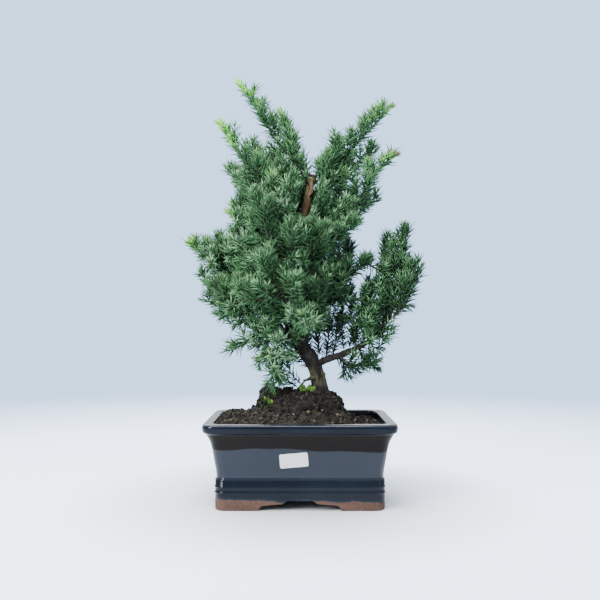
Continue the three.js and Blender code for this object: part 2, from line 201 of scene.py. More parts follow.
def with_modifiers(mesh, *modifiers):
    """The mesh after the given modifiers, each a type with its settings."""
    holder = place_object("holder", mesh)
    for kind, values in modifiers:
        modifier = holder.modifiers.new(kind.title(), kind)
        for key, value in values.items():
            setattr(modifier, key, value)
    bpy.context.view_layer.update()
    evaluated = holder.evaluated_get(bpy.context.evaluated_depsgraph_get())
    result = bpy.data.meshes.new_from_object(evaluated)
    bpy.data.objects.remove(holder)
    return result


def remeshed(node, voxel, before=(), after=()):
    """A CAD node's mesh made anew from even voxels, with modifiers before and after that."""
    remesh = ("REMESH", {"mode": "VOXEL", "voxel_size": voxel})
    return with_modifiers(mesh_of(node_copy(node), node), *before, remesh, *after)


def displace(mesh, offset):
    """Moves each vertex along its normal by offset(place, normal)."""
    moved = [vertex.co + vertex.normal * offset(vertex.co, vertex.normal) for vertex in mesh.vertices]
    for vertex, place in zip(mesh.vertices, moved):
        vertex.co = place
    mesh.update()


def by_corner(places):
    """A map_point that gives the corners of each face these places in turn."""
    def map_point(vertex, face):
        return places[list(face.verts).index(vertex)]
    return map_point


def template_of(shape, map_point):
    """Triangles of a small bmesh as arrays, with map_point(vertex, face) for each corner's UV."""
    bmesh.ops.triangulate(shape, faces=shape.faces)
    shape.normal_update()
    points = np.array([vertex.co[:] for vertex in shape.verts])
    corners = np.array([[vertex.index for vertex in face.verts] for face in shape.faces])
    places = np.array([[map_point(vertex, face) for vertex in face.verts] for face in shape.faces])
    shape.free()
    return points, corners, places


class Stamper:
    """Gathers many copies of small templates into one mesh with its own UV map."""

    def __init__(self):
        self.points, self.corners, self.places, self.count = [], [], [], 0

    def add(self, points, corners, places):
        self.points.append(points)
        self.corners.append(corners + self.count)
        self.places.append(places)
        self.count += len(points)

    def stamp(self, template, turns, spots, map_shifts=None):
        """Adds one copy for each 3x3 turn, spot and shift of the UV map."""
        points, corners, places = template
        turns, spots = np.asarray(turns), np.asarray(spots)
        map_shifts = np.zeros((len(spots), 2)) if map_shifts is None else np.asarray(map_shifts)
        placed = np.einsum("nij,pj->npi", turns, points) + spots[:, None, :]
        starts = np.arange(len(spots))[:, None, None] * len(points)
        shifted = places[None] + map_shifts[:, None, None, :]
        self.add(placed.reshape(-1, 3), (corners[None] + starts).reshape(-1, 3), shifted.reshape(-1, 3, 2))

    def mesh(self, name):
        points = np.concatenate(self.points)
        corners = np.concatenate(self.corners)
        places = np.concatenate(self.places)
        mesh = bpy.data.meshes.new(name)
        mesh.vertices.add(len(points))
        mesh.vertices.foreach_set("co", points.astype(np.float32).ravel())
        mesh.loops.add(corners.size)
        mesh.loops.foreach_set("vertex_index", corners.astype(np.int32).ravel())
        mesh.polygons.add(len(corners))
        mesh.polygons.foreach_set("loop_start", np.arange(0, corners.size, 3, dtype=np.int32))
        mesh.update(calc_edges=True)
        layer = mesh.uv_layers.new(name=MAP_NAME)
        layer.data.foreach_set("uv", np.clip(places, 0.002, 0.998).astype(np.float32).ravel())
        mesh.validate()
        return mesh


# ---- Shader parts --------------------------------------------------------------

def mapped_range(nodes, links, value, limits, curve="LINEAR"):
    """A Map Range node's result; limits are the range that goes in and the range that comes out."""
    node = nodes.new("ShaderNodeMapRange")
    node.interpolation_type = curve
    links.new(value, node.inputs["Value"])
    for key, number in zip(("From Min", "From Max", "To Min", "To Max"), limits):
        node.inputs[key].default_value = number
    return node.outputs["Result"]


class Shader:
    """A material with its Principled shader and short ways to add nodes."""

    def __init__(self, name):
        self.material = bpy.data.materials.new(name)
        self.material.use_nodes = True
        self.nodes = self.material.node_tree.nodes
        self.links = self.material.node_tree.links
        self.principled = self.nodes["Principled BSDF"]

    def set(self, **values):
        for key, value in values.items():
            self.principled.inputs[key.replace("_", " ").title().replace("Ior", "IOR")].default_value = value
        return self

    def plug(self, source, target):
        socket = self.principled.inputs[target] if isinstance(target, str) else target
        self.links.new(source, socket)

    def coordinates(self, output="Object"):
        return self.nodes.new("ShaderNodeTexCoord").outputs[output]

    def scaled(self, scale):
        mapping = self.nodes.new("ShaderNodeMapping")
        mapping.inputs["Scale"].default_value = scale
        self.plug(self.coordinates(), mapping.inputs["Vector"])
        return mapping.outputs["Vector"]

    def noise(self, scale, detail=4, roughness=0.55, vector=None):
        node = self.nodes.new("ShaderNodeTexNoise")
        node.inputs["Scale"].default_value = scale
        node.inputs["Detail"].default_value = detail
        node.inputs["Roughness"].default_value = roughness
        self.plug(vector or self.coordinates(), node.inputs["Vector"])
        return node.outputs["Fac"]

    def mottle(self, scale, low, high, detail=4, roughness=0.55):
        """A mask from 0 to 1 where noise on the object's coordinates passes from low to high."""
        node = self.nodes.new("ShaderNodeGroup")
        node.node_tree = mottle_group()
        self.plug(self.coordinates(), node.inputs["Vector"])
        values = (scale, detail, roughness, low, high)
        for socket, value in zip(("Scale", "Detail", "Roughness", "Low", "High"), values):
            node.inputs[socket].default_value = value
        return node.outputs["Mask"]

    def axis(self, which, vector=None):
        node = self.nodes.new("ShaderNodeSeparateXYZ")
        self.plug(vector or self.coordinates(), node.inputs[0])
        return node.outputs[which]

    def feed(self, socket, value):
        """Gives a socket another socket's output, a number or a colour."""
        if isinstance(value, bpy.types.NodeSocket):
            self.plug(value, socket)
        else:
            socket.default_value = value

    def maths(self, operation, first, second=0.0):
        node = self.nodes.new("ShaderNodeMath")
        node.operation = operation
        self.feed(node.inputs[0], first)
        self.feed(node.inputs[1], second)
        return node.outputs[0]

    def times(self, first, second):
        return self.maths("MULTIPLY", first, second)

    def plus(self, first, second):
        return self.maths("ADD", first, second)

    def minus(self, first, second):
        return self.maths("SUBTRACT", first, second)

    def most(self, first, second):
        return self.maths("MAXIMUM", first, second)

    def span(self, value, low, high, out_low=0.0, out_high=1.0, curve="LINEAR"):
        """Maps a value's range from low to high onto another range."""
        return mapped_range(self.nodes, self.links, value, (low, high, out_low, out_high), curve)

    def mix(self, factor, first, second):
        node = self.nodes.new("ShaderNodeMix")
        node.data_type = "RGBA"
        for index, value in ((0, factor), (6, first), (7, second)):
            self.feed(node.inputs[index], value)
        return node.outputs[2]

    def ramp(self, value, stops):
        node = self.nodes.new("ShaderNodeValToRGB")
        elements = node.color_ramp.elements
        elements[0].position, elements[0].color = stops[0]
        elements[1].position, elements[1].color = stops[-1]
        for position, colour in stops[1:-1]:
            elements.new(position).color = colour
        self.plug(value, node.inputs["Fac"])
        return node.outputs["Color"]

    def bump(self, height, distance, strength=1.0):
        node = self.nodes.new("ShaderNodeBump")
        node.inputs["Distance"].default_value = distance
        node.inputs["Strength"].default_value = strength
        self.plug(height, node.inputs["Height"])
        self.plug(node.outputs["Normal"], "Normal")


def mottle_group():
    """The node group that turns fractal noise into a mask between two levels."""
    name = "mottle"
    if name in bpy.data.node_groups:
        return bpy.data.node_groups[name]
    group = bpy.data.node_groups.new(name, "ShaderNodeTree")
    group.interface.new_socket("Vector", in_out="INPUT", socket_type="NodeSocketVector")
    defaults = {"Scale": 100.0, "Detail": 4.0, "Roughness": 0.55, "Low": 0.3, "High": 0.7}
    for name, value in defaults.items():
        socket = group.interface.new_socket(name, in_out="INPUT", socket_type="NodeSocketFloat")
        socket.default_value = value
    group.interface.new_socket("Mask", in_out="OUTPUT", socket_type="NodeSocketFloat")
    given, put = group.nodes.new("NodeGroupInput"), group.nodes.new("NodeGroupOutput")
    texture, limits = group.nodes.new("ShaderNodeTexNoise"), group.nodes.new("ShaderNodeMapRange")
    for socket in ("Vector", "Scale", "Detail", "Roughness"):
        group.links.new(given.outputs[socket], texture.inputs[socket])
    group.links.new(texture.outputs["Fac"], limits.inputs["Value"])
    group.links.new(given.outputs["Low"], limits.inputs["From Min"])
    group.links.new(given.outputs["High"], limits.inputs["From Max"])
    group.links.new(limits.outputs["Result"], put.inputs["Mask"])
    return group


# Heights on the pot where its finish and its painted reflections change.
BASE_BAND_TOP = 24.6 * MM
# The dark band between the next two heights is a painted reflection of dark surroundings, with painted shade
# under the rim.
PAINTED_REFLECTION_LOW = 48 * MM
PAINTED_REFLECTION_HIGH = 60.6 * MM
RIM_ROLL_TOP = 67.4 * MM
# How far the glaze's lower edge and the lower edge of the painted dark reflection under the rim wander from
# their heights.
EDGE_WAVER = 2.2 * MM
EDGE_LEAN = 2.8 * MM
PAINTED_REFLECTION_SAG = 2.5 * MM
NOISE_LOW, NOISE_HIGH = 0.3, 0.7        # the range that most of a noise texture stays in


def glaze_colour(shader, look, height, above, painted_reflection):
    """Deep glaze that is thin on edges and clouded on the flat walls, with painted reflections: paler navy on
    the flat walls, and dark brown with painted shade under the rim.
    """
    thin = shader.span(above, 0.3 * MM, 2.4 * MM, 0.85, 0.0)
    rim_edge = shader.span(height, POT_HIGH.z - 1.4 * MM, POT_HIGH.z - 0.4 * MM, 0.0, 0.55)
    cloud = shader.times(shader.mottle(14, 0.35, 0.7), 0.3)
    lightness = shader.most(shader.most(thin, rim_edge), cloud)
    # The flat walls between the base band and the rim are a paler navy: a painted reflection of the pale
    # room.
    flat = shader.times(shader.span(height, BASE_BAND_TOP, BASE_BAND_TOP + 1.2 * MM),
                        shader.span(height, PAINTED_REFLECTION_HIGH, PAINTED_REFLECTION_HIGH - 3 * MM))
    glaze = shader.mix(lightness, shader.mix(flat, look.glaze, look.glaze_flat_painted_reflection), look.glaze_thin)
    return shader.mix(painted_reflection, glaze, look.glaze_painted_reflection)


def glaze_material():
    """Deep glossy glaze that stops unevenly above the feet and leaves bare clay below."""
    look = pot_settings()
    shader = Shader("navy_glaze_over_clay")
    height = shader.axis("Z")
    waver = shader.span(shader.noise(26, 3), NOISE_LOW, NOISE_HIGH, -EDGE_WAVER, EDGE_WAVER)
    lean = shader.span(shader.axis("X"), POT_LOW.x, POT_HIGH.x, EDGE_LEAN, -EDGE_LEAN)
    above = shader.minus(height, shader.plus(shader.plus(waver, lean), look.glaze_edge))
    glazed = shader.span(above, -0.25 * MM, 0.25 * MM)
    # A dark brown band under the rim with a wavy lower edge, where the coat is nearly gone: a painted
    # reflection of the dark surroundings, with painted shade under the rim.
    sag = shader.span(shader.noise(13, 2), NOISE_LOW, NOISE_HIGH, -PAINTED_REFLECTION_SAG, PAINTED_REFLECTION_SAG)
    painted_reflection_edge = shader.minus(shader.plus(height, sag), PAINTED_REFLECTION_LOW)
    painted_reflection = shader.times(shader.span(painted_reflection_edge, -0.5 * MM, 0.5 * MM),
                          shader.span(height, PAINTED_REFLECTION_HIGH + 0.8 * MM, PAINTED_REFLECTION_HIGH - 0.8 * MM))
    clay = shader.mix(shader.mottle(420, 0.3, 0.75), look.clay, look.clay_dark)
    shader.plug(shader.mix(glazed, clay, glaze_colour(shader, look, height, above, painted_reflection)), "Base Color")
    shader.plug(shader.span(glazed, 0, 1, 0.85, 0.07), "Roughness")
    band = shader.span(height, BASE_BAND_TOP - 1.2 * MM, BASE_BAND_TOP + 0.2 * MM, 0.12, 0.6)
    roll = shader.span(height, RIM_ROLL_TOP - 1.5 * MM, RIM_ROLL_TOP, 1.0, 0.0)
    above_painted_reflection = shader.times(roll, shader.span(height, PAINTED_REFLECTION_HIGH - 0.8 * MM, PAINTED_REFLECTION_HIGH + 0.4 * MM))
    coat = shader.times(band, shader.span(shader.most(painted_reflection, above_painted_reflection), 0, 1, 1.0, 0.04))
    shader.plug(shader.times(coat, glazed), "Coat Weight")
    shader.set(coat_roughness=0.04, specular_ior_level=0.17)
    pores = shader.times(shader.noise(420, 4), shader.span(glazed, 0, 1, 0.12, 0.0))
    shader.bump(shader.plus(shader.noise(22, 2), pores), 0.9 * MM, 0.16)
    return shader.material


def mottled_material(name, main, other, mottle, **values):
    """Two shades of one colour in patches; mottle holds the mask's scale, limits and detail."""
    shader = Shader(name).set(**values)
    shader.plug(shader.mix(shader.mottle(*mottle), main, other), "Base Color")
    return shader.material


def leaf_material(name, display, dark):
    return mottled_material(name, display, dark, (160, 0.3, 0.7, 3), roughness=0.5, specular_ior_level=0.4)


def soil_material():
    """Damp peat with paler dry patches."""
    look = ground_settings()
    shader = Shader("damp_peat").set(roughness=0.95, specular_ior_level=0.25)
    patch = shader.mottle(60, 0.36, 0.72, 8, 0.7)
    fine = shader.mottle(700, 0.35, 0.7, 5, 0.7)
    colour = shader.mix(shader.times(patch, fine), look.soil_dark, look.soil_light)
    shader.plug(colour, "Base Color")
    shader.bump(fine, 0.7 * MM, 0.8)
    return shader.material


def crumb_material():
    """Soil crumbs, each with the tint that its place in the UV map gives."""
    look = ground_settings()
    shader = Shader("soil_crumbs").set(roughness=0.92, specular_ior_level=0.25)
    tint = shader.axis("Y", shader.coordinates("UV"))
    colour = shader.ramp(tint, [
        (0.0, srgb(17, 15, 14)), (0.36, look.soil_dark), (0.6, srgb(58, 52, 45)), (0.78, look.soil_light),
        (0.94, srgb(118, 118, 88)), (0.955, srgb(212, 208, 198)), (1.0, srgb(232, 230, 224))])
    shader.plug(colour, "Base Color")
    return shader.material


SCAR_MIDDLE = 103 * MM      # height of the smooth olive-brown stretch
STUB_FOOT = 228 * MM        # height from which the wood is bare
STUB_BROWN = srgb(88, 60, 48)


def bark_material():
    """Dark flaking bark with a smooth olive-brown stretch round the lower trunk and a bare stub."""
    look = tree_settings()
    shader = Shader("juniper_bark").set(roughness=0.9, specular_ior_level=0.25)
    fibres = shader.noise(1.0, 8, 0.7, shader.scaled((420, 420, 90)))
    flakes = shader.noise(1.0, 6, 0.6, shader.scaled((130, 130, 40)))
    height = shader.axis("Z")
    bark = shader.mix(shader.span(fibres, 0.35, 0.68), look.bark_dark, look.bark_light)
    flaked = shader.mix(fibres, look.bark_dark, srgb(44, 35, 29))
    bark = shader.mix(shader.span(flakes, 0.45, 0.62), bark, flaked)
    near_scar = shader.maths("ABSOLUTE", shader.minus(height, SCAR_MIDDLE))
    smooth = shader.times(shader.span(near_scar, 9.5 * MM, 4 * MM), shader.span(flakes, 0.6, 0.42))
    stub = shader.times(shader.span(height, STUB_FOOT, STUB_FOOT + 12 * MM), shader.span(flakes, 0.72, 0.6))
    high = shader.span(height, STUB_FOOT - 28 * MM, STUB_FOOT + 2 * MM)
    pale = shader.mix(high, look.sapwood, look.heartwood)
    deep = shader.mix(high, srgb(66, 62, 44), srgb(112, 86, 58))
    wood = shader.mix(shader.span(fibres, 0.36, 0.64), deep, pale)
    weathered = shader.span(height, TRUNK_HIGH.z - 8 * MM, TRUNK_HIGH.z - 4 * MM, 0, 0.75)
    rooted = shader.span(height, TRUNK_HIGH.z - 16 * MM, TRUNK_HIGH.z - 30 * MM, 0, 0.6)
    wood = shader.mix(shader.times(shader.most(weathered, rooted), stub), wood, STUB_BROWN)
    sawn = shader.span(height, TRUNK_HIGH.z - 2.2 * MM, TRUNK_HIGH.z - 0.9 * MM)
    colour = shader.mix(shader.most(smooth, stub), bark, wood)
    shader.plug(shader.mix(sawn, colour, srgb(96, 74, 58)), "Base Color")
    shader.bump(fibres, 0.8 * MM, 0.7)
    return shader.material


# Tints up a needle map's v: wood, then old to young needles, then dried ones.
# Each is (v, the needle's back, its paler face).
NEEDLE_TINTS = [
    (0.07, (74, 60, 42), (86, 72, 48)), (0.1, (8, 24, 13), (14, 36, 24)), (0.3, (26, 59, 28), (50, 90, 54)),
    (0.5, (49, 93, 50), (100, 145, 99)), (0.68, (83, 132, 82), (152, 189, 152)),
    (0.82, (100, 172, 50), (166, 216, 112)), (0.93, (112, 208, 44), (176, 244, 118)),
    (0.96, (176, 138, 116), (190, 152, 130)), (1.0, (150, 112, 96), (160, 122, 104))]


def needle_material():
    """Needles and their stems: u runs along a needle, v goes from wood through old to young growth."""
    look = tree_settings()
    shader = Shader("juniper_needles").set(roughness=0.45, specular_ior_level=0.38)
    place = shader.coordinates("UV")
    along, age = shader.axis("X", place), shader.axis("Y", place)
    under, upper = (
        shader.ramp(age, [(0.0, look.bark_dark), *((tint[0], srgb(*tint[side])) for tint in NEEDLE_TINTS)])
        for side in (1, 2))
    colour = shader.mix(shader.maths("GREATER_THAN", along, 0.5), under, upper)
    length = shader.maths("FRACT", shader.times(along, 2.0))
    tip = shader.span(length, 0.72, 1.0, 0.0, 0.3)
    shader.plug(shader.mix(tip, colour, srgb(150, 190, 140)), "Base Color")
    return shader.material


# ---- Pot -------------------------------------------------------------------------

# Each point is (inset from the rim's outer face, height), both in millimetres.
POT_FOOT = [(10.4, 0.0), (9.8, 0.8), (9.7, 13.0), (9.45, 13.45), (9.2, 13.9), (9.45, 14.35), (9.7, 14.8),
            (9.7, 17.4), (9.45, 17.85), (9.2, 18.3), (9.45, 18.75), (9.7, 19.2), (9.75, 23.6), (10.0, 24.2),
            (10.5, 24.7)]
POT_WALL = [(10.7, 25.6), (10.6, 28.0), (9.9, 33.0), (9.0, 38.0), (8.2, 43.0), (7.4, 47.8), (6.3, 52.8),
            (4.9, 56.2), (3.5, 58.8)]
POT_RIM = [(2.7, 60.4), (2.0, 60.95), (1.1, 61.3), (0.45, 62.2), (0.1, 63.6), (0.0, 65.0), (0.08, 66.3),
           (0.45, 67.5), (1.1, 68.2), (2.2, 68.55), (3.4, 68.6), (6.6, 68.6), (7.6, 68.4), (8.2, 67.9),
           (8.5, 67.0)]
POT_INSIDE = [(8.8, 65.0), (9.2, 62.0), (11.5, 56.0), (13.4, 50.0), (14.4, 38.0), (15.2, 22.0), (17.0, 16.0),
              (22.0, 14.0)]
POT_UNDERSIDE = [(22.0, 9.0), (19.0, 7.2), (18.4, 0.6), (17.8, 0.0)]
POT_BASE_CORNER = 7 * MM
DRAIN_OFFSET = 32 * MM
SIDE_ARCH = 0.7     # the short sides' arches as a share of the long sides'


def smooth_outline(points, steps):
    """A Catmull-Rom curve through the outline's points."""
    ends = [points[0], *points, points[-1]]
    result = []
    for before, start, stop, after in zip(ends, ends[1:], ends[2:], ends[3:]):
        for step in range(steps):
            t = step / steps
            result.append(tuple(
                0.5 * (2 * b + (c - a) * t + (2 * a - 5 * b + 4 * c - d) * t * t
                       + (3 * b - a - 3 * c + d) * t ** 3)
                for a, b, c, d in zip(before, start, stop, after)))
    return result + [points[-1]]


def next_cap(shape, cap, keep):
    """Extrudes a cap in place and returns the new one; the old one goes unless it closes the base."""
    extruded = bmesh.ops.extrude_face_region(shape, geom=[cap])["geom"]
    new_cap = next(item for item in extruded if isinstance(item, bmesh.types.BMFace))
    if not keep:
        bmesh.ops.delete(shape, geom=[cap], context="FACES_ONLY")
    return new_cap


def rounded_loft(outline, half, corner):
    """A closed solid whose rounded-rectangle section follows an outline of (inset, height) points."""
    def halves(inset):
        return half.x - inset * MM, half.y - inset * MM

    shape = bmesh.new()
    inset, height = outline[0]
    across, deep = halves(inset)
    corners = [shape.verts.new((x * across, y * deep, height * MM))
               for x, y in ((-1, -1), (1, -1), (1, 1), (-1, 1))]
    shape.faces.new(corners)
    bmesh.ops.bevel(
        shape, geom=corners, offset=corner, affect="VERTICES", segments=9, profile=0.5, material=-1)
    cap = shape.faces[:][0]
    for index, (inset, height) in enumerate(outline[1:]):
        cap = next_cap(shape, cap, keep=index == 0)
        now = halves(inset)
        bmesh.ops.scale(shape, vec=(now[0] / across, now[1] / deep, 1), verts=cap.verts)
        lift = height * MM - cap.verts[0].co.z
        bmesh.ops.translate(shape, vec=(0, 0, lift), verts=cap.verts)
        across, deep = now
    bmesh.ops.recalc_face_normals(shape, faces=shape.faces)
    return shape


def arch_cutter(span, height, length, turn):
    """A bracket-shaped bar that cuts the arches on two facing sides."""
    foot, apex = span / 2, span / 6
    shoulder = (foot + apex) / 2
    half_outline = [
        (foot, -1 * MM), (foot, 0), (foot - 0.6 * MM, 0.28 * height), (foot - 2.6 * MM, 0.47 * height),
        (foot - 6 * MM, 0.56 * height), (shoulder, 0.6 * height), (apex + 2.4 * MM, 0.7 * height),
        (apex + 0.9 * MM, 0.86 * height), (apex - 0.6 * MM, 0.97 * height), (apex - 3 * MM, height)]
    outline = half_outline + [(-x, z) for x, z in reversed(half_outline)]
    shape = bmesh.new()
    face = shape.faces.new([shape.verts.new((x, -length / 2, z)) for x, z in outline])
    extruded = bmesh.ops.extrude_face_region(shape, geom=[face])["geom"]
    moved = [item for item in extruded if isinstance(item, bmesh.types.BMVert)]
    bmesh.ops.translate(shape, vec=(0, length, 0), verts=moved)
    bmesh.ops.rotate(shape, verts=shape.verts, matrix=Matrix.Rotation(turn, 3, "Z"))
    bmesh.ops.recalc_face_normals(shape, faces=shape.faces)
    return mesh_of(shape, "arch_cutter")


def drain_cutter(x, diameter):
    shape = bmesh.new()
    bmesh.ops.create_cone(
        shape, cap_ends=True, segments=40, radius1=diameter / 2, radius2=diameter / 2, depth=20 * MM,
        matrix=Matrix.Translation((x, 0, 12 * MM)))
    return mesh_of(shape, "drain_cutter")


def cut_with(mesh, cutters):
    """The mesh with each cutter taken out of it."""
    holders = [place_object("cutter", cutter) for cutter in cutters]
    cuts = [("BOOLEAN", {"object": holder, "operation": "DIFFERENCE", "solver": "EXACT"})
            for holder in holders]
    result = with_modifiers(mesh, *cuts)
    for holder in holders:
        bpy.data.objects.remove(holder)
    return result


class BONSAI_OT_pot(bpy.types.Operator):
    """Build the glazed pot with its rolled rim, ridged base band, corner feet and drain holes"""
    bl_idname = "bonsai.pot"
    bl_label = "Pot"

    def execute(self, context):
        look = pot_settings()
        half = (POT_HIGH - POT_LOW) / 2
        outline = (POT_UNDERSIDE + POT_FOOT + smooth_outline(POT_WALL, 3) + POT_RIM
                   + smooth_outline(POT_INSIDE[:-1], 2) + POT_INSIDE[-1:])
        body = mesh_of(rounded_loft(outline, half, POT_BASE_CORNER), "pot_body")
        cutters = [
            arch_cutter(look.arch_span, look.arch_height, 2 * half.y + 20 * MM, 0),
            arch_cutter(look.arch_span * SIDE_ARCH, look.arch_height, 2 * half.x + 20 * MM, math.pi / 2),
            drain_cutter(-DRAIN_OFFSET, look.drain_diameter), drain_cutter(DRAIN_OFFSET, look.drain_diameter)]
        shell = cut_with(body, cutters)
        finish_piece("glazed_pot", shell, glaze_material(), ["pot"], smooth_angle=38)
        return {"FINISHED"}


class BONSAI_OT_fittings(bpy.types.Operator):
    """Finish the blank label and the two drain screens"""
    bl_idname = "bonsai.fittings"
    bl_label = "Label and drain screens"

    def execute(self, context):
        look = pot_settings()
        paper = mottled_material(
            "blank_label_paper", look.label, look.label_dull, (300, 0.4, 0.7, 3), roughness=0.45)
        plastic = mottled_material(
            "black_screen_plastic", look.screen, look.screen_dust, (240, 0.45, 0.75, 6), roughness=0.5)
        for node, material in (("number_label", paper), ("drain_screen_left", plastic),
                               ("drain_screen_right", plastic)):
            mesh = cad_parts[node].data
            if not mesh.materials:
                mesh.materials.append(material)
            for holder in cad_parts[node].material_slots:
                holder.material = material
        return {"FINISHED"}


# ---- Soil ------------------------------------------------------------------------

SAMPLE_TRIES = 8        # places tried for each one that is kept


def surface_samples(mesh, count, rng, keep=None):
    """Places and normals spread evenly over the parts of a mesh that keep(place, normal) accepts."""
    mesh.calc_loop_triangles()
    areas = np.array([triangle.area for triangle in mesh.loop_triangles])
    tries = count * SAMPLE_TRIES
    order = rng.choice(len(areas), size=tries, p=areas / areas.sum())
    found = []
    for index, (first, second) in zip(order, rng.random((tries, 2))):
        triangle = mesh.loop_triangles[int(index)]
        if first + second > 1:
            first, second = 1 - first, 1 - second
        a, b, c = (mesh.vertices[i].co for i in triangle.vertices)
        place = a + (b - a) * first + (c - a) * second
        if keep is None or keep(place, triangle.normal):
            found.append((place, triangle.normal.copy()))
            if len(found) == count:
                break
    return found


def random_turn(rng):
    """A random rotation as a 3x3 array."""
    axis = Vector(rng.normal(size=3))
    return np.array(Matrix.Rotation(rng.uniform(0, math.tau), 3, axis.normalized()))


def crumb_template(seed):
    """A lumpy grain one unit across."""
    shape = bmesh.new()
    bmesh.ops.create_icosphere(shape, subdivisions=1, radius=0.5)
    for vertex in shape.verts:
        vertex.co *= 1 + 0.34 * noise.noise(vertex.co * 2.2 + Vector((seed * 3.7, seed, 0)))
    return template_of(shape, by_corner([(0, 0), (0.03, 0), (0, 0.03)]))


PERLITE_SHARE = 0.004
LARGEST_CRUMB = 2.1         # against the mean size
CRUMB_SHAPES = 5


def scatter_crumbs(name, spots, rng, size, dampness):
    """Crumbs of mixed size half sunk at the given places, darker on the whole where it is damp."""
    templates = [crumb_template(seed) for seed in range(CRUMB_SHAPES)]
    stamper = Stamper()
    for index, template in enumerate(templates):
        turns, places, shifts = [], [], []
        for place, normal in spots[index::len(templates)]:
            perlite = rng.random() < PERLITE_SHARE
            across = size * (rng.uniform(0.4, 0.8) if perlite else rng.lognormal(-0.25, 0.5))
            across = min(across, LARGEST_CRUMB * size)
            stretch = np.diag(rng.uniform(0.65, 1.25, 3)) * across
            turns.append(random_turn(rng) @ stretch)
            places.append(np.array(place + normal * across * rng.uniform(-0.1, 0.3)))
            tint = rng.uniform(0.955, 0.965) if perlite else rng.beta(2.0, dampness) * 0.91
            shifts.append((rng.uniform(0.01, 0.95), tint))
        stamper.stamp(template, turns, places, shifts)
    return finish_piece(name, stamper.mesh(name), crumb_material())


# How far the loose soil stands out of the CAD bed: upwards everywhere, more where it is heaped, sideways,
# and in a skirt round the root ball.
SOIL_LIFT = 2.6 * MM
HEAP_LIFT = 2.2 * MM
SOIL_SPREAD = 1.9 * MM
SKIRT_REACH = 52 * MM
SKIRT_WIDTH = 16 * MM
SKIRT_LIFT = 14 * MM
# Where across and along the pot the heap starts, and how far it takes to reach its full height.
HEAP_START = (10 * MM, -40 * MM)
HEAP_RISE = (-50 * MM, 60 * MM)
POT_WALL_INSET = 9.2 * MM
# Lumps and swells of the ground: how closely they lie, and their height.
BED_LUMPS = (95, 1.3 * MM)
MOUND_LUMPS = (120, 2.6 * MM)
MOUND_SWELLS = (75, 2.2 * MM)
BED_DAMPNESS = 2.2
MOUND_DAMPNESS = 3.2


class BONSAI_OT_soil(bpy.types.Operator):
    """Build the granular soil bed and the rooted mound of the old root ball"""
    bl_idname = "bonsai.soil"
    bl_label = "Soil and root ball"

    def execute(self, context):
        look = ground_settings()
        rng = np.random.default_rng(11)
        material = soil_material()

        def bed_height(place, normal):
            if place.z < SOIL_HIGH.z - 12 * MM:
                return 0
            if normal.z < 0.3:
                return SOIL_SPREAD
            heap = (clamped((place.x - HEAP_START[0]) / HEAP_RISE[0])
                    * clamped((place.y - HEAP_START[1]) / HEAP_RISE[1]))
            near_ball = clamped((SKIRT_REACH - place.xy.length) / SKIRT_WIDTH)
            lift = SOIL_LIFT + HEAP_LIFT * heap + SKIRT_LIFT * near_ball ** 1.5
            return lift + BED_LUMPS[1] * noise.fractal(place * BED_LUMPS[0], 1.0, 2.0, 5)

        bed = remeshed("soil_bed", 1.5 * MM)
        displace(bed, bed_height)
        finish_piece("soil_bed_surface", bed, material, ["soil_bed"])

        def mound_height(place, normal):
            if place.z < SOIL_LOW.z + 42 * MM:
                return 0
            lumps = MOUND_LUMPS[1] * noise.fractal(place * MOUND_LUMPS[0], 0.9, 2.1, 6)
            return lumps + MOUND_SWELLS[1] * noise.noise(place * MOUND_SWELLS[0])

        mound = remeshed("root_ball", 1.1 * MM)
        displace(mound, mound_height)
        finish_piece("root_ball_mound", mound, material, ["root_ball"])

        level = SOIL_HIGH.z - 9 * MM
        inner = (POT_HIGH - POT_LOW) / 2 - Vector((POT_WALL_INSET, POT_WALL_INSET, 0))

        def on_bed(place, normal):
            inside = abs(place.x) < inner.x and abs(place.y) < inner.y
            clear = place.xy.length > BALL_HIGH.x - 3 * MM
            return inside and clear and normal.z > 0.2 and place.z > level

        def on_mound(place, normal):
            return place.z > SOIL_HIGH.z - 6 * MM and normal.z > -0.6

        bed_spots = surface_samples(bed, look.bed_crumbs, rng, on_bed)
        scatter_crumbs("soil_bed_crumbs", bed_spots, rng, look.crumb_size, BED_DAMPNESS)
        mound_spots = surface_samples(mound, look.mound_crumbs, rng, on_mound)
        scatter_crumbs("mound_crumbs", mound_spots, rng, look.crumb_size * 1.05, MOUND_DAMPNESS)
        return {"FINISHED"}


# ---- Weeds and moss -----------------------------------------------------------------

LEAF_LIFT = 0.22
LEAF_CUP = 0.5
LEAF_SPREAD = 0.62          # how much of a tuft's reach its leaves' feet fill
WEED_LEAVES, WEED_SIZE = 30, 4.2 * MM
SEEDLING_LEAVES, SEEDLING_SIZE = 7, 3 * MM
SEEDLING_REACH = Vector((2.5, 2.5, 1.5)) * MM
# Small weeds away from the clump, in millimetres.
SEEDLINGS = [(-24, -26, 82), (-28, -22, 84), (-8, 30, 88)]
MOSS_SHIFT = Vector((3, -1, 5)) * MM        # from the moss cushion's middle to the moss's heart


def leaf_template():
    """A small oval leaf, one unit long, cupped across and lifted at its tip."""
    shape = bmesh.new()
    bmesh.ops.create_grid(shape, x_segments=2, y_segments=4, size=0.5)
    for vertex in shape.verts:
        along = vertex.co.y + 0.5
        width = math.sin(math.pi * min(max(along, 0.03), 0.97)) ** 0.6 * 0.62
        vertex.co.x *= width * 1.3
        vertex.co.z = LEAF_LIFT * along ** 2 + LEAF_CUP * vertex.co.x ** 2
        vertex.co.y = along
    bmesh.ops.solidify(shape, geom=shape.faces[:], thickness=0.05)
    bmesh.ops.recalc_face_normals(shape, faces=shape.faces)

    def map_point(vertex, face):
        return (0.5 + vertex.co.x * 0.9, 0.04 + vertex.co.y * 0.9)
    return template_of(shape, map_point)


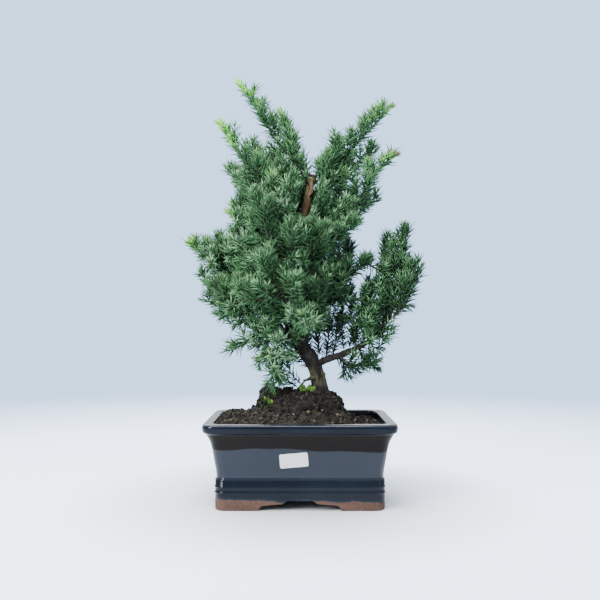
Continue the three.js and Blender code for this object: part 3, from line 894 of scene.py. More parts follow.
def leafy_tuft(stamper, template, centre, reach, count, leaf_size, rng):
    """Leaves in a loose rosette around a centre."""
    turns, places = [], []
    for index in range(count):
        bearing = index * GOLDEN_TURN + rng.uniform(-0.3, 0.3)
        pitch = rng.uniform(0.15, 1.1)
        size = leaf_size * rng.uniform(0.7, 1.25)
        turn = Matrix.Rotation(bearing, 3, "Z") @ Matrix.Rotation(pitch, 3, "X")
        spread = Vector([rng.uniform(low, 1) * room for low, room in zip((-1, -1, -0.4), reach)])
        turns.append(np.array(turn) * size)
        places.append(np.array(centre + spread * LEAF_SPREAD))
    stamper.stamp(template, turns, places)


class BONSAI_OT_ground_cover(bpy.types.Operator):
    """Grow the bright weeds beside the trunk and the moss on the mound's shoulder"""
    bl_idname = "bonsai.ground_cover"
    bl_label = "Weeds and moss"

    def execute(self, context):
        look = ground_settings()
        rng = np.random.default_rng(23)
        leaf = leaf_template()
        low, high = corners_of("weed_clump")
        weeds = Stamper()
        leafy_tuft(weeds, leaf, (low + high) / 2, (high - low) / 2, WEED_LEAVES, WEED_SIZE, rng)
        for spot in SEEDLINGS:
            leafy_tuft(weeds, leaf, Vector(spot) * MM, SEEDLING_REACH, SEEDLING_LEAVES, SEEDLING_SIZE, rng)
        material = leaf_material("weed_leaves", look.weed, look.weed_dark)
        finish_piece("weeds", weeds.mesh("weeds"), material, ["weed_clump"])

        low, high = corners_of("moss_cushion")
        heart = (low + high) / 2 + MOSS_SHIFT

        def near_heart(place, normal):
            reach = look.moss_reach * (1 + 0.5 * noise.noise(place * 160))
            return (place - heart).length < reach and normal.z > -0.3

        mound = bpy.data.objects["root_ball_mound"].data
        turns, places = [], []
        for place, normal in surface_samples(mound, look.moss_leaves, rng, near_heart):
            lean = (normal + Vector(rng.normal(size=3)) * 0.5).normalized()
            twist = Matrix.Rotation(rng.uniform(0, math.tau), 3, "Y")
            turn = lean.to_track_quat("Y", "Z").to_matrix() @ twist
            turns.append(np.array(turn) * rng.uniform(1.2, 2.6) * MM)
            places.append(np.array(place))
        moss = Stamper()
        moss.stamp(leaf, turns, places)
        material = leaf_material("moss_velvet", look.moss, look.moss_dark)
        finish_piece("moss", moss.mesh("moss"), material, ["moss_cushion"])
        return {"FINISHED"}


# ---- Wood ------------------------------------------------------------------------------

# How far the bark stands out along the trunk, as (height, depth).
TRUNK_GIRTH = np.array([(78, 2.2), (90, 1.3), (103, 0.3), (114, 1.2), (128, 1.7), (142, 0.8), (155, 0)]) * MM
ROOT_EDGE = 9 * MM          # the surface root lies on this side of it
SCAR_HEIGHT = 99 * MM       # a ridge round the trunk
SCAR_WIDTH = 1.1 * MM
SCAR_DEPTH = 0.7 * MM
SAW_SLOPE = Vector((0.25, 0, 0.97))
SAW_CENTRE = Vector((11.5 * MM, 0, TRUNK_HIGH.z - 2 * MM))


def nodes_called(prefix):
    return sorted(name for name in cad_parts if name.startswith(prefix))


def bark_mesh(node, voxel, depth):
    """A CAD limb as a round, fluted and flaking piece of wood."""
    rounded = remeshed(node, voxel, before=[("SUBSURF", {"levels": 2, "render_levels": 2})],
                       after=[("SMOOTH", {"iterations": 4, "factor": 0.5})])

    def flakes(place, normal):
        long_grain = Vector((place.x * 230, place.y * 230, place.z * 60))
        swelling = noise.noise(place * 70) * 0.9 + 0.7 * noise.noise(place * 190)
        rough = depth * (noise.fractal(long_grain, 0.9, 2.0, 4) + swelling)
        if node != "trunk" or (place.z < SCAR_HEIGHT and place.x < ROOT_EDGE):
            return rough
        scar = SCAR_DEPTH * math.exp(-((place.z - 0.25 * place.x - SCAR_HEIGHT) / SCAR_WIDTH) ** 2)
        return rough + scar + float(np.interp(place.z, *TRUNK_GIRTH.T))

    displace(rounded, flakes)
    return rounded


class BONSAI_OT_wood(bpy.types.Operator):
    """Model the trunk, its sawn stub, its roots and the bare limbs"""
    bl_idname = "bonsai.wood"
    bl_label = "Trunk and limbs"

    def execute(self, context):
        material = bark_material()
        trunk = bark_mesh("trunk", 0.7 * MM, 0.85 * MM)
        shape = bmesh.new()
        shape.from_mesh(trunk)
        sliced = bmesh.ops.bisect_plane(
            shape, geom=shape.verts[:] + shape.edges[:] + shape.faces[:], plane_co=SAW_CENTRE,
            plane_no=SAW_SLOPE.normalized(), clear_outer=True)["geom_cut"]
        bmesh.ops.holes_fill(shape, edges=[item for item in sliced if isinstance(item, bmesh.types.BMEdge)])
        bmesh.ops.recalc_face_normals(shape, faces=shape.faces)
        finish_piece(
            "trunk_wood", mesh_of(shape, "trunk_wood"), material, ["trunk"], smooth_angle=50)
        for node in nodes_called("limb_"):
            limb = bark_mesh(node, 0.5 * MM, 0.4 * MM)
            finish_piece(f"{node}_wood", limb, material, [node])
        return {"FINISHED"}


# ---- Foliage ---------------------------------------------------------------------------

NEEDLE_RINGS = [(0.0, 0.55), (0.38, 1.0), (1.0, 0.0)]     # share of length, share of width
NEEDLE_CURVE = 0.18
NEEDLE_DEPTH = 0.8                      # against the needle's width
BASE_LEAN, TIP_LEAN = 53, 20            # degrees between stem and needle at the stem's base and tip
LEAN_JITTER, BEARING_JITTER, BUD_JITTER = 0.13, 0.22, 0.34
OLDEST_TINT, YOUNGEST_TINT = 0.11, 0.93
TINT_JITTER = 0.035
WHORL_ARMS = 3
FEWEST_WHORLS = 4
BARE_LOSS = 0.7                         # the share of whorls that has fallen where a stem is bare
# The dense parts of the crown: the middle and radii of each, in millimetres.
MASSES = [(np.array(middle) * MM, np.array(radii) * MM) for middle, radii in (
    ((-13, -2, 208), (48, 44, 80)),
    ((-46, 0, 164), (26, 26, 20)),
    ((-62, 8, 192), (27, 22, 22)),
    ((-26, -6, 268), (28, 20, 30)),
    ((36, -4, 256), (21, 18, 28)),
    ((30, -6, 183), (18, 22, 22)),
    ((62, -18, 147), (18, 15, 22)),
    ((80, -20, 182), (17, 16, 27)),
    ((51, -10, 160), (14, 12, 22)),
    ((-20, -12, 118), (13, 12, 16)))]
MASS_ROOM = 20 * MM                     # how far past the envelopes a mass lets needles stand
FILL_SPACING = 10 * MM
STEM_CLEARANCE = 6.2 * MM
SHORTEST_FILL = 9 * MM
LONGEST_FILL = 42 * MM
CROWN_MIDDLE = np.array([0, 0, 200]) * MM
CROWN_HEART = 50                        # millimetres from the crown's middle to where its outer part starts
CROWN_RIM = 90                          # millimetres from there to its outermost tips
CROWN_RISE = 0.82                       # a filling shoot points away from this share of its height
# Thin dark shoots that stand up like a comb behind the bare limb: where each starts and ends, in millimetres.
COMB_SHOOTS = [(np.array(start) * MM, np.array(end) * MM) for start, end in (
    ((17, -2, 121), (14, 2, 143)), ((22, -4, 119), (25, 4, 142)), ((28, -6, 121), (33, 2, 152)),
    ((37, -9, 126), (36, 0, 162)), ((46, -12, 131), (44, -4, 176)), ((41, -10, 128), (51, -14, 158)),
    ((12, 0, 112), (4, 8, 139)), ((30, -8, 120), (47, -14, 109)), ((47, -12, 130), (63, -20, 112)))]
COMB_AGE = (0.13, 0.3)
COMB_DENSITY = 1.7
# Dark needles along the trunk between two heights, each row at an offset from its middle line.
FRINGE_LOW, FRINGE_HIGH = 109 * MM, 146 * MM
FRINGE_OFFSETS = [np.array(offset) * MM for offset in ((-5, -2, 0), (-4, 2, 3), (-6, 1, -2), (5, -2, 2))]
SHOOT_FLARE = 0.68                      # how far a shoot turns away from its stem
TWIG_FLARE = 0.55                       # and a twig from its shoot
STEM_RADIUS = 1.15 * MM
STEM_TIP_RADIUS = 0.4 * MM
SHOOT_RADIUS = 0.65 * MM
TWIG_RADIUS = 0.45 * MM
TWIG_TIP_RADIUS = 0.28 * MM
SHORTEST_TWIG = 4 * MM
SHOOT_STEPS = 5
SHOOT_RISE = 0.2                        # how much a shoot turns up at each step, and how much it strays
SHOOT_WANDER = 0.06
# Lengths in millimetres of twigs on a shoot, of twigs on a filling shoot, and of shoots on a limb.
TWIG_LENGTHS, FILL_TWIG_LENGTHS, LIMB_SHOOT_LENGTHS = (7, 13), (8, 14), (13, 22)
# How far past the envelopes a shoot may go, in millimetres: at its spray's base, how much less at its tip,
# and for a twig.
BASE_ROOM, ROOM_LOSS, TWIG_ROOM = 8.5, 6, 5
SLENDER = ("leader_left", "leader_left_side", "leader_right", "left_bright_tip")
SLENDER_SHARE = 0.78
# Sprays that end in fresh growth: the tint of their tips and how far back it reaches.
YOUNG_TIPS = {"leader_left": (0.93, 12 * MM), "left_bright_tip": (0.93, 22 * MM), "left_tip": (0.86, 14 * MM),
              "leader_left_side": (0.8, 6 * MM), "leader_right": (0.82, 9 * MM),
              "right_high_tip": (0.82, 7 * MM), "left_outer": (0.8, 7 * MM)}
YOUNG_SHARE = 0.72                      # side shoots past this share of a young spray end in a bud
BUD_TINT = 0.74
BUD_DENSITY = 6.5 / MM
SIDE_BUD = 5 * MM
DRY_BUD = 5 * MM
DRY_TIP = "right_high_tip"
DRY_TINT = 1.0
OLD_TIP = 0.74
# The tint of a side shoot's base at the crown's middle, what is added at the rim, and how much it varies.
FIRST_AGE, OUTER_AGE, AGE_SPREAD = 0.27, 0.2, 0.14
SHADED = ("right_limb", "right_droop", "right_mid", "right_backlit")
SHADE = 0.09
SHADED_RIGHT, SHADED_HEIGHT = 25 * MM, 235 * MM     # shoots right of and below these are darker too
LIMB_COVER = 0.5                        # the share of a limb that stays bare
LIMB_SHOOT_SPACING = 4 * MM
# Where the sawn stub is kept in sight: its lowest height, its place from left to right, and room beside it.
STUB_LOW = 240 * MM
STUB_MIDDLE = 8 * MM
STUB_REACH = 14 * MM
STUB_MARGIN = 1.2 * MM


def needle_template():
    """A tapering needle one unit long and one wide: flat above, keeled below, curved a little."""
    shape = bmesh.new()
    base = bmesh.ops.create_circle(shape, cap_ends=True, segments=3, radius=0.5)["verts"]
    bmesh.ops.rotate(shape, verts=base, matrix=Matrix.Rotation(math.pi, 3, "Z"))
    cap = shape.faces[:][0]
    _, width = NEEDLE_RINGS[0]
    bmesh.ops.scale(shape, vec=(width, width, 1), verts=shape.verts)
    for index, (share, next_width) in enumerate(NEEDLE_RINGS[1:]):
        cap = next_cap(shape, cap, keep=index == 0)
        middle = cap.calc_center_median()
        factor = next_width / width
        bmesh.ops.scale(shape, vec=(factor, factor, 1), space=Matrix.Translation(-middle), verts=cap.verts)
        droop = NEEDLE_CURVE * (middle.z ** 2 - share ** 2)
        bmesh.ops.translate(shape, vec=(0, droop, share - middle.z), verts=cap.verts)
        width = next_width
    bmesh.ops.remove_doubles(shape, verts=shape.verts, dist=1e-4)
    bmesh.ops.recalc_face_normals(shape, faces=shape.faces)

    def map_point(vertex, face):
        if face.normal.z < -0.9:
            return (0.03 + 0.05 * list(face.verts).index(vertex) % 0.1, 0.02 * vertex.co.x)
        upper = face.normal.y > 0.5
        start = 0.53 if upper else 0.03
        middle = face.calc_center_median().x
        return (start + 0.44 * vertex.co.z, 0.035 * (vertex.co.x - middle) + 0.008 * (vertex.co.y > 0))
    return template_of(shape, map_point)


def path_through(points, count):
    """Evenly spaced places on a smooth curve through the points."""
    points = np.asarray(points)
    dense = np.array(smooth_outline([tuple(point) for point in points], 12))
    steps = np.linalg.norm(np.diff(dense, axis=0), axis=1)
    run = np.concatenate([[0], np.cumsum(steps)])
    wanted = np.linspace(0, run[-1], count)
    return np.stack([np.interp(wanted, run, dense[:, axis]) for axis in range(3)], axis=1), run[-1]


def units(vectors):
    return vectors / np.maximum(np.linalg.norm(vectors, axis=-1, keepdims=True), 1e-9)


def merged_tree(nodes, above=-math.inf):
    """One search tree over the faces of several CAD nodes, those above a height."""
    points, faces = [], []
    for node in nodes:
        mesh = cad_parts[node].data
        start = len(points)
        points += [vertex.co.copy() for vertex in mesh.vertices]
        faces += [[start + index for index in face.vertices]
                  for face in mesh.polygons if face.center.z > above]
    return BVHTree.FromPolygons(points, faces)


class Stem:
    """The middle line and reach of a CAD solid that grows out of other wood."""
    SAMPLES = 700
    SLICES = 5      # from base to tip
    FEWEST = 5      # samples that a slice needs to count

    def __init__(self, node, wood, seed):
        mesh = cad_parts[node].data
        rng = np.random.default_rng(3000 + seed)
        samples = np.array([place[:] for place, _ in surface_samples(mesh, self.SAMPLES, rng)])
        nearest = [wood.find_nearest(Vector(place)) for place in samples]
        gaps = np.array([hit[3] for hit in nearest])
        touching = gaps < gaps.min() + 0.6 * MM
        base = np.mean([nearest[i][0][:] for i in np.flatnonzero(touching)], axis=0)
        away = np.linalg.norm(samples - base, axis=1)
        tip = samples[away.argmax()]
        bins = np.clip((away / away.max() * self.SLICES).astype(int), 0, self.SLICES - 1)
        slices = [samples[bins == i] for i in range(self.SLICES)]
        middles = [part.mean(axis=0) for part in slices if len(part) > self.FEWEST]
        self.points = [base, *middles[1:-1], 0.4 * middles[-1] + 0.6 * tip, tip]
        widths = [np.linalg.norm(part - part.mean(axis=0), axis=1).mean()
                  for part in slices[1:-1] if len(part) > self.FEWEST]
        self.reach = float(np.median(widths))
        self.line, self.length = path_through(self.points, 40)


def trunk_line():
    """The trunk's middle line, from the centres of its rings."""
    points = np.array([vertex.co[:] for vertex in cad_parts["trunk"].data.vertices])
    levels = np.linspace(TRUNK_LOW.z + 15 * MM, TRUNK_HIGH.z - 3 * MM, 14)
    near = [points[np.argsort(abs(points[:, 2] - level))[:10]].mean(axis=0) for level in levels]
    return path_through(near, 60)[0]


class Crown:
    """The space that the foliage may fill, and the sawn stub that it leaves in sight."""

    def __init__(self, sprays):
        self.tree = merged_tree(sprays)
        self.stub = merged_tree(["trunk"], STUB_LOW)

    def outside(self, place):
        """How far a place stands outside the nearest envelope; negative inside it."""
        spot, normal, _, distance = self.tree.find_nearest(Vector(place))
        return distance if (Vector(place) - spot).dot(normal) > 0 else -distance

    @staticmethod
    def depth(place):
        """0 at the middle of a dense mass, 1 at its edge."""
        return min(np.linalg.norm((place - middle) / radii) for middle, radii in MASSES)

    def beyond(self, place):
        """How far a place stands outside the envelopes, less the room that the dense masses give."""
        return self.outside(place) - MASS_ROOM * clamped((1.15 - self.depth(place)) / 0.2)

    def unfilled(self, stems, rng):
        """Places spread through the dense masses that no stem comes near."""
        grown = KDTree(len(stems))
        for index, place in enumerate(stems):
            grown.insert(place, index)
        grown.balance()
        found = np.empty((0, 3))
        for middle, radii in MASSES:
            tries = int(40 * radii.prod() / FILL_SPACING ** 3)
            for offset in rng.uniform(-1, 1, (tries, 3)):
                place = middle + offset * radii
                if np.linalg.norm(offset) > 1 or grown.find(place)[2] < STEM_CLEARANCE:
                    continue
                if len(found) == 0 or np.linalg.norm(found - place, axis=1).min() > FILL_SPACING:
                    found = np.vstack([found, place])
        return found

    def trim(self, line, run, allowance):
        """The part of a shoot's line that stays within the allowance, and its length."""
        for index in range(2, len(line)):
            if self.beyond(line[index]) > allowance:
                return line[:index], run * (index - 1) / (len(line) - 1)
        return line, run

    def hides_stub(self, place):
        """Whether a needle at this place would stand in front of the stub."""
        if place[1] > 0 or abs(place[0] - STUB_MIDDLE) > STUB_REACH or place[2] < STUB_LOW - 4 * MM:
            return False
        starts = (Vector(place) + Vector((shift, 0, 0)) for shift in (-STUB_MARGIN, 0, STUB_MARGIN))
        return any(self.stub.ray_cast(start, Vector((0, 1, 0)))[0] for start in starts)


class Growth:
    """The stems and needles of one piece of foliage."""

    def __init__(self, crown, look, rng, outward, lift):
        self.crown, self.look, self.rng = crown, look, rng
        self.outward, self.lift = outward, np.array([0, 0, lift])
        self.stems, self.turns, self.places, self.tints = [], [], [], []

    def clothe(self, line, length, age, bare=0.0, ripening=2.2):
        """Adds whorls of three needles along a stem; age runs from its base's tint to its tip's."""
        look, rng = self.look, self.rng
        whorls = max(FEWEST_WHORLS, int(length / look.whorl_spacing))
        shares = 1 - (1 - (np.arange(whorls) + 0.5) / whorls) ** 1.08
        kept = np.flatnonzero((shares >= bare) | (rng.random(whorls) > BARE_LOSS)).repeat(WHORL_ARMS)
        arms = np.tile(np.arange(WHORL_ARMS), len(kept) // WHORL_ARMS)
        count, share = len(kept), shares[kept]
        spot = share * (len(line) - 1)
        low = np.minimum(spot.astype(int), len(line) - 2)
        step = line[low + 1] - line[low]
        ahead = units(step)
        side = units(np.cross(line[-1] - line[0], rng.normal(size=3)))
        across = units(side - ahead * (ahead @ side)[:, None])
        third = np.cross(ahead, across)
        opening = BASE_LEAN - (BASE_LEAN - TIP_LEAN) * share ** 2
        lean = (np.radians(opening) + rng.normal(size=count) * LEAN_JITTER)[:, None]
        turned = kept * math.pi / WHORL_ARMS + arms * math.tau / WHORL_ARMS
        bearing = (turned + rng.normal(size=count) * BEARING_JITTER)[:, None]
        radial = across * np.cos(bearing) + third * np.sin(bearing)
        heading = units(ahead * np.cos(lean) + radial * np.sin(lean))
        upper = units(ahead * np.sin(lean) - radial * np.cos(lean))
        size = look.needle_length * (0.86 + 0.22 * np.sin(math.pi * share) - 0.38 * share ** 6)
        long = (size * rng.uniform(0.85, 1.12, count))[:, None]
        wide = (look.needle_width * rng.uniform(0.85, 1.15, count))[:, None]
        axes = [np.cross(upper, heading) * wide, upper * wide * NEEDLE_DEPTH, heading * long]
        self.turns.append(np.stack(axes, axis=2))
        self.places.append(line[low] + step * (spot - low)[:, None])
        tint = age[0] + (age[1] - age[0]) * share ** ripening + rng.normal(size=count) * TINT_JITTER
        self.tints.append(np.clip(tint, OLDEST_TINT, YOUNGEST_TINT))

    def end_bud(self, line, count=3, size=0.4, tint=BUD_TINT, depth=2 * MM):
        """Closes a stem with short needles that start within a depth of its end."""
        heading = units(line[-1] - line[-3])
        for _ in range(count):
            turned = units(heading + self.rng.normal(size=3) * BUD_JITTER)
            upper = units(np.cross(turned, self.rng.normal(size=3)))
            wide, long = self.look.needle_width, self.look.needle_length * size * self.rng.uniform(0.8, 1.2)
            axes = [np.cross(upper, turned) * wide, upper * wide * NEEDLE_DEPTH, turned * long]
            self.turns.append(np.stack(axes, axis=1)[None])
            back = int(self.rng.uniform(0, 1) * depth / np.linalg.norm(line[-1] - line[-2]))
            foot = line[-1 - min(back, len(line) - 2)][None]
            self.places.append(foot + self.rng.normal(size=3) * 0.2 * MM)
            self.tints.append(np.array([tint - 0.05 * self.rng.random()]))

    def branch(self, parent, share, long, age, order=1, lean_up=False, bud=0):
        """Grows a side shoot from a share of the parent's line, with its own twigs."""
        rng = self.rng
        low = min(int(share * (len(parent) - 1)), len(parent) - 2)
        ahead = units(parent[low + 1] - parent[low])
        across = units(np.cross(ahead, [0.3, 0.2, 0.9]))
        radials = [across * math.cos(bearing) + np.cross(ahead, across) * math.sin(bearing)
                   for bearing in rng.uniform(0, math.tau, 2)]
        radial = max(radials, key=lambda way: way[2]) if lean_up or self.lift[2] > 0 else radials[0]
        flare = SHOOT_FLARE if order == 1 else TWIG_FLARE
        line, run = side_shoot(parent[low], ahead * 0.95 + radial * flare + self.lift, long, rng)
        allowance = (BASE_ROOM - ROOM_LOSS * share) * MM if order == 1 else TWIG_ROOM * MM
        line, run = self.crown.trim(line, run, allowance)
        if run < SHORTEST_TWIG:
            return
        self.stems.append((line, SHOOT_RADIUS if order == 1 else TWIG_RADIUS, TWIG_TIP_RADIUS))
        tip = age + 0.16 + 0.16 * rng.random() + 0.14 * self.outward
        self.clothe(line, run, (age, min(tip, OLD_TIP)))
        if bud:
            self.end_bud(line, int(SIDE_BUD * BUD_DENSITY), 0.5, bud, SIDE_BUD)
        if order == 1:
            for _ in range(int(run / self.look.twig_spacing)):
                self.branch(line, rng.uniform(0.25, 0.8), rng.uniform(*TWIG_LENGTHS) * MM, age + 0.03, 2)

    def reach_for(self, start, target, ages=None):
        """Grows a shoot with twigs from a place on older wood out to a target."""
        rng = self.rng
        away = target - start
        bow = np.array([0, 0, -0.12 * np.linalg.norm(away)]) + rng.normal(size=3) * MM
        line, run = path_through([start, start + away * 0.55 + bow, target + units(away) * 3 * MM], 14)
        age = 0.22 + 0.14 * min(self.crown.depth(target), 1) + 0.08 * rng.random()
        age -= SHADE * (target[0] > SHADED_RIGHT and target[2] < SHADED_HEIGHT)
        self.stems.append((line, SHOOT_RADIUS, TWIG_TIP_RADIUS))
        if ages:
            self.clothe(line, run * COMB_DENSITY, ages)
            return
        self.clothe(line, run, (age, age + 0.22 + 0.12 * rng.random()))
        for _ in range(int(run / self.look.twig_spacing)):
            self.branch(line, rng.uniform(0.2, 0.85), rng.uniform(*FILL_TWIG_LENGTHS) * MM, age + 0.05, 2)

    def finish(self, name, template, material, replaces=()):
        """Makes the piece from the needles that leave the stub in sight, and the stems."""
        turns, places, tints = (np.concatenate(part) for part in (self.turns, self.places, self.tints))
        tips = places + turns[:, :, 2]
        clear = [not (self.crown.hides_stub(a) or self.crown.hides_stub(b)) for a, b in zip(places, tips)]
        stamper = Stamper()
        shifts = np.stack([np.zeros(len(tints)), tints], axis=1)
        stamper.stamp(template, turns[clear], places[clear], shifts[clear])
        stems = [stem for stem in self.stems
                 if stem[1] > SHOOT_RADIUS or not any(self.crown.hides_stub(place) for place in stem[0])]
        stamper.add(*stem_arrays(stems))
        return finish_piece(name, stamper.mesh(name), material, replaces)


def side_shoot(start, direction, length, rng):
    """A short shoot that leaves at an angle and turns up towards the light."""
    points, place, heading = [start], start.copy(), units(direction)
    for _ in range(SHOOT_STEPS):
        heading = units(heading + np.array([0, 0, SHOOT_RISE]) + rng.normal(size=3) * SHOOT_WANDER)
        place = place + heading * length / SHOOT_STEPS
        points.append(place)
    return path_through(points, 12)


def stem_arrays(lines):
    """Thin round stems along the given lines, each (points, base radius, tip radius)."""
    curve = bpy.data.curves.new("stems", "CURVE")
    curve.dimensions = "3D"
    curve.bevel_depth = 1.0
    curve.bevel_resolution = 0
    curve.use_fill_caps = True
    for points, thick, thin in lines:
        spline = curve.splines.new("POLY")
        kept = points[::3] if len(points) > 16 else points[::2]
        spline.points.add(len(kept) - 1)
        for index, (control, place) in enumerate(zip(spline.points, kept)):
            control.co = (*place, 1)
            control.radius = thick + (thin - thick) * index / (len(kept) - 1)
    holder = place_object("stems", curve)
    mesh = bpy.data.meshes.new_from_object(holder.evaluated_get(bpy.context.evaluated_depsgraph_get()))
    bpy.data.objects.remove(holder)
    shape = bmesh.new()
    shape.from_mesh(mesh)
    return template_of(shape, by_corner([(0.02, 0.01), (0.98, 0.01), (0.5, 0.05)]))


class BONSAI_OT_foliage(bpy.types.Operator):
    """Grow the needle-bearing sprays in their envelopes, and the shoots that clothe the limbs"""
    bl_idname = "bonsai.foliage"
    bl_label = "Foliage"

    def execute(self, context):
        look = tree_settings()
        template, material = needle_template(), needle_material()
        sprays, limbs = nodes_called("spray_"), nodes_called("limb_")
        crown = Crown(sprays)
        growths, lines = {}, {}
        wood = merged_tree(["trunk", *limbs])
        for number, node in enumerate(sprays):
            growths[node], lines[node] = self.spray(node, Stem(node, wood, number), crown, look, number)
        trunk = merged_tree(["trunk"])
        for number, node in enumerate(["trunk", *limbs]):
            growths[node] = Growth(crown, look, np.random.default_rng(2000 + number), 0.2, 0.25)
            lines[node] = trunk_line() if node == "trunk" else Stem(node, trunk, number).line

        starts = np.concatenate(list(lines.values()))
        owners = [node for node, line in lines.items() for _ in line]
        stems = np.concatenate([stem[0] for growth in growths.values() for stem in growth.stems])
        for target in crown.unfilled(stems, np.random.default_rng(5)):
            steps = target - starts
            away = np.linalg.norm(steps, axis=1)
            outward = units(target - CROWN_MIDDLE * (1, 1, target[2] / CROWN_MIDDLE[2] * CROWN_RISE))
            cost = away * (1.7 - 0.7 * (units(steps) @ outward)) + 100 * (away < SHORTEST_FILL)
            nearest = int(cost.argmin())
            if away[nearest] < LONGEST_FILL:
                growths[owners[nearest]].reach_for(starts[nearest], target)
        self.cover_wood(growths, lines, limbs)
        for node, growth in growths.items():
            if not growth.stems:
                continue
            growth.end_bud(growth.stems[0][0])
            name = "needles_" + node.removeprefix("spray_")
            growth.finish(name, template, material, [node] if node in sprays else ())
        return {"FINISHED"}

    @staticmethod
    def cover_wood(growths, lines, limbs):
        """Short shoots along the limbs' outer halves, the comb of dark shoots, and a fringe on the trunk."""
        for node in limbs:
            growth, line = growths[node], lines[node]
            run = np.linalg.norm(np.diff(line, axis=0), axis=1).sum() * (1 - LIMB_COVER)
            for share in np.linspace(LIMB_COVER, 0.97, int(run / LIMB_SHOOT_SPACING)):
                shade = SHADE if line[-1][0] > SHADED_RIGHT else 0
                long = growth.rng.uniform(*LIMB_SHOOT_LENGTHS) * MM
                growth.branch(line, share, long, 0.3 - shade, lean_up=True)
        comb = growths["limb_right_low"]
        for start, end in COMB_SHOOTS:
            comb.reach_for(start, end, COMB_AGE)
        trunk = lines["trunk"]
        fringe = trunk[(trunk[:, 2] > FRINGE_LOW) & (trunk[:, 2] < FRINGE_HIGH)]
        for offset in FRINGE_OFFSETS:
            growths["trunk"].clothe(fringe + offset, fringe[-1][2] - fringe[0][2], COMB_AGE)

    @staticmethod
    def spray(node, stem, crown, look, number):
        """Grows one spray's own stem and side shoots."""
        rng = np.random.default_rng(1000 + number)
        name = node.removeprefix("spray_")
        away = np.linalg.norm(stem.points[-1] - CROWN_MIDDLE) / MM
        outward = float(np.clip((away - CROWN_HEART) / CROWN_RIM, 0, 1))
        outward *= 0.15 if name.startswith(SHADED) else 1
        young, fresh = YOUNG_TIPS.get(name, (0.0, 0.0))
        slender = SLENDER_SHARE if name in SLENDER else 1
        growth = Growth(crown, look, rng, outward, 0.22 if stem.points[-1][2] > stem.points[0][2] else -0.1)
        growth.stems.append((stem.line, STEM_RADIUS, STEM_TIP_RADIUS))
        ages = (0.34, young or 0.6 + 0.2 * outward)
        growth.clothe(stem.line, stem.length, ages, bare=0.22, ripening=4 if young else 2.2)
        count = int(stem.length / look.shoot_spacing)
        first_age = FIRST_AGE - (SHADE if name.startswith(SHADED) else 0)
        for index in range(count):
            share = 0.06 + 0.88 * (index + rng.uniform(0, 0.8)) / count
            long = stem.reach * (3.4 - 2.4 * share) * rng.uniform(0.45, 1.4) * slender
            age = first_age + OUTER_AGE * outward + AGE_SPREAD * rng.random()
            growth.branch(stem.line, share, long, age, bud=young if share > YOUNG_SHARE else 0)
        if young:
            size = 0.55 + 0.01 * fresh / MM
            growth.end_bud(stem.line, int(fresh * BUD_DENSITY), size, young, fresh)
        if name == DRY_TIP:
            growth.end_bud(stem.line, int(DRY_BUD * BUD_DENSITY), 0.7, DRY_TINT, DRY_BUD)
        return growth, stem.line


# ---- Stage -------------------------------------------------------------------------------

FLOOR_COLOUR = srgb(232, 236, 240)
FLOOR_SIZE = 6
FLOOR_GLOW = 2.9
FLOOR_GLOW_COLOUR = srgb(200, 222, 250)
GLOW_START, GLOW_FULL = 0.06, 0.2       # metres from the pot's middle
FADE_START, FADE_FULL = 0.25, 1.1
BACKDROP_COLOUR = srgb(184, 217, 255)
BACKDROP_STRENGTH = 2.45
WORLD_COLOUR = srgb(214, 222, 230)
# The world's light by how far a direction points up, and what is added by how far it points to the back:
# the range that goes in and the strengths that come out.
OVERHEAD = (0.0, 0.8, 0.3, 1.5)
BEHIND = (0.2, 0.8, 0.0, 0.9)
# Each softbox: name, place, target, size, watts and colour.
SOFTBOXES = [
    ("top_softbox", (-0.2, -0.35, 1.1), (0, 0, 0.2), (1.0, 0.16), 13, (1, 1, 1)),
    ("front_left_softbox", (-0.9, -0.9, 0.75), (0, 0, 0.18), (0.6, 0.8), 24, (0.98, 0.99, 1.0)),
    ("right_fill", (0.95, -0.5, 0.5), (0, 0, 0.15), (0.6, 0.8), 1.0, (0.95, 0.98, 1.0)),
    ("back_light", (-0.2, 1.0, 0.8), (0, 0, 0.2), (1.0, 0.6), 7, (1, 1, 1))]
CAMERA_PLACE = (0, -661.5 * MM, 146.8 * MM)
CAMERA_PITCH = 91.8         # degrees up from straight down
CAMERA_LENS = 46.5
CAMERA_SENSOR = 36


def area_light(name, place, target, size, power, colour):
    data = bpy.data.lights.new(name, "AREA")
    data.shape = "RECTANGLE"
    data.size, data.size_y = size
    data.energy = power
    data.color = colour
    light = place_object(name, data)
    light.location = place
    light.rotation_euler = (Vector(target) - Vector(place)).to_track_quat("-Z", "Y").to_euler()
    return light


def floor_material():
    """A pale floor that fades into the backdrop away from the pot."""
    shader = Shader("pale_floor").set(
        roughness=0.7, base_color=FLOOR_COLOUR, emission_color=FLOOR_GLOW_COLOUR)
    away = shader.nodes.new("ShaderNodeVectorMath")
    away.operation = "LENGTH"
    shader.plug(shader.coordinates(), away.inputs[0])
    seen = shader.nodes.new("ShaderNodeLightPath").outputs["Is Camera Ray"]
    lit = shader.span(away.outputs["Value"], GLOW_START, GLOW_FULL, 0.0, FLOOR_GLOW)
    shader.plug(shader.times(seen, lit), "Emission Strength")
    glow = shader.nodes.new("ShaderNodeEmission")
    glow.inputs["Color"].default_value = BACKDROP_COLOUR
    glow.inputs["Strength"].default_value = BACKDROP_STRENGTH
    fade = shader.span(away.outputs["Value"], FADE_START, FADE_FULL, curve="SMOOTHSTEP")
    blend = shader.nodes.new("ShaderNodeMixShader")
    for socket, source in zip(blend.inputs, (fade, shader.principled.outputs[0], glow.outputs[0])):
        shader.plug(source, socket)
    shader.plug(blend.outputs[0], shader.nodes["Material Output"].inputs["Surface"])
    return shader.material


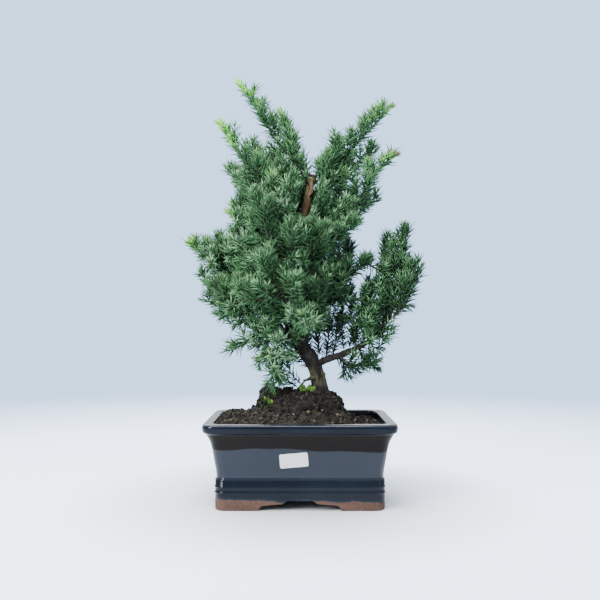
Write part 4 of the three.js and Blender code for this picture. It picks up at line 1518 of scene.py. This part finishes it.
def studio_world():
    """Light that comes mostly from overhead, with an even backdrop behind the object."""
    world = bpy.data.worlds.new("studio")
    world.use_nodes = True
    nodes, links = world.node_tree.nodes, world.node_tree.links
    direction = nodes.new("ShaderNodeSeparateXYZ")
    links.new(nodes.new("ShaderNodeTexCoord").outputs["Generated"], direction.inputs[0])
    total = nodes.new("ShaderNodeMath")
    for index, (way, limits) in enumerate((("Z", OVERHEAD), ("Y", BEHIND))):
        links.new(mapped_range(nodes, links, direction.outputs[way], limits), total.inputs[index])
    light = nodes["Background"]
    light.inputs["Color"].default_value = WORLD_COLOUR
    links.new(total.outputs[0], light.inputs["Strength"])
    backdrop = nodes.new("ShaderNodeBackground")
    backdrop.inputs["Color"].default_value = BACKDROP_COLOUR
    backdrop.inputs["Strength"].default_value = BACKDROP_STRENGTH
    blend = nodes.new("ShaderNodeMixShader")
    seen = nodes.new("ShaderNodeLightPath").outputs["Is Camera Ray"]
    for socket, source in zip(blend.inputs, (seen, light.outputs[0], backdrop.outputs[0])):
        links.new(source, socket)
    links.new(blend.outputs[0], nodes["World Output"].inputs["Surface"])
    return world


class BONSAI_OT_stage(bpy.types.Operator):
    """Set up the pale floor, soft studio light and camera"""
    bl_idname = "bonsai.stage"
    bl_label = "Stage"

    def execute(self, context):
        scene = bpy.context.scene
        floor = bmesh.new()
        bmesh.ops.create_grid(floor, x_segments=1, y_segments=1, size=FLOOR_SIZE)
        mesh = mesh_of(floor, "floor")
        mesh.materials.append(floor_material())
        place_object("floor", mesh)
        scene.world = studio_world()
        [area_light(*softbox) for softbox in SOFTBOXES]

        data = bpy.data.cameras.new("camera")
        data.lens = CAMERA_LENS
        data.sensor_width = CAMERA_SENSOR
        camera = place_object("camera", data)
        camera.location = CAMERA_PLACE
        camera.rotation_euler = (math.radians(CAMERA_PITCH), 0, 0)
        scene.camera = camera
        return {"FINISHED"}


class BONSAI_PT_panel(bpy.types.Panel):
    """Lists the pieces of the bonsai"""
    bl_idname = "BONSAI_PT_panel"
    bl_label = "Bonsai"
    bl_space_type = "VIEW_3D"
    bl_region_type = "UI"
    bl_category = "Bonsai"

    def draw(self, context):
        for settings in (context.scene.bonsai_pot, context.scene.bonsai_ground, context.scene.bonsai_tree):
            box = self.layout.box()
            for key in settings.__annotations__:
                box.prop(settings, key)
        for operator in OPERATORS:
            self.layout.operator(operator.bl_idname)


OPERATORS = (BONSAI_OT_pot, BONSAI_OT_fittings, BONSAI_OT_soil, BONSAI_OT_ground_cover, BONSAI_OT_wood,
             BONSAI_OT_foliage, BONSAI_OT_stage)
SETTINGS = {"bonsai_pot": BonsaiPotSettings, "bonsai_ground": BonsaiGroundSettings,
            "bonsai_tree": BonsaiTreeSettings}


def register():
    for group in (*SETTINGS.values(), *OPERATORS, BONSAI_PT_panel):
        bpy.utils.register_class(group)
    for name, group in SETTINGS.items():
        setattr(bpy.types.Scene, name, bpy.props.PointerProperty(type=group))


def unregister():
    for name in SETTINGS:
        delattr(bpy.types.Scene, name)
    for group in reversed((*SETTINGS.values(), *OPERATORS, BONSAI_PT_panel)):
        bpy.utils.unregister_class(group)


def main():
    register()
    for operator in OPERATORS:
        family, name = operator.bl_idname.split(".")
        getattr(getattr(bpy.ops, family), name)()
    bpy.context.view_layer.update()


if __name__ == "__main__":
    main()
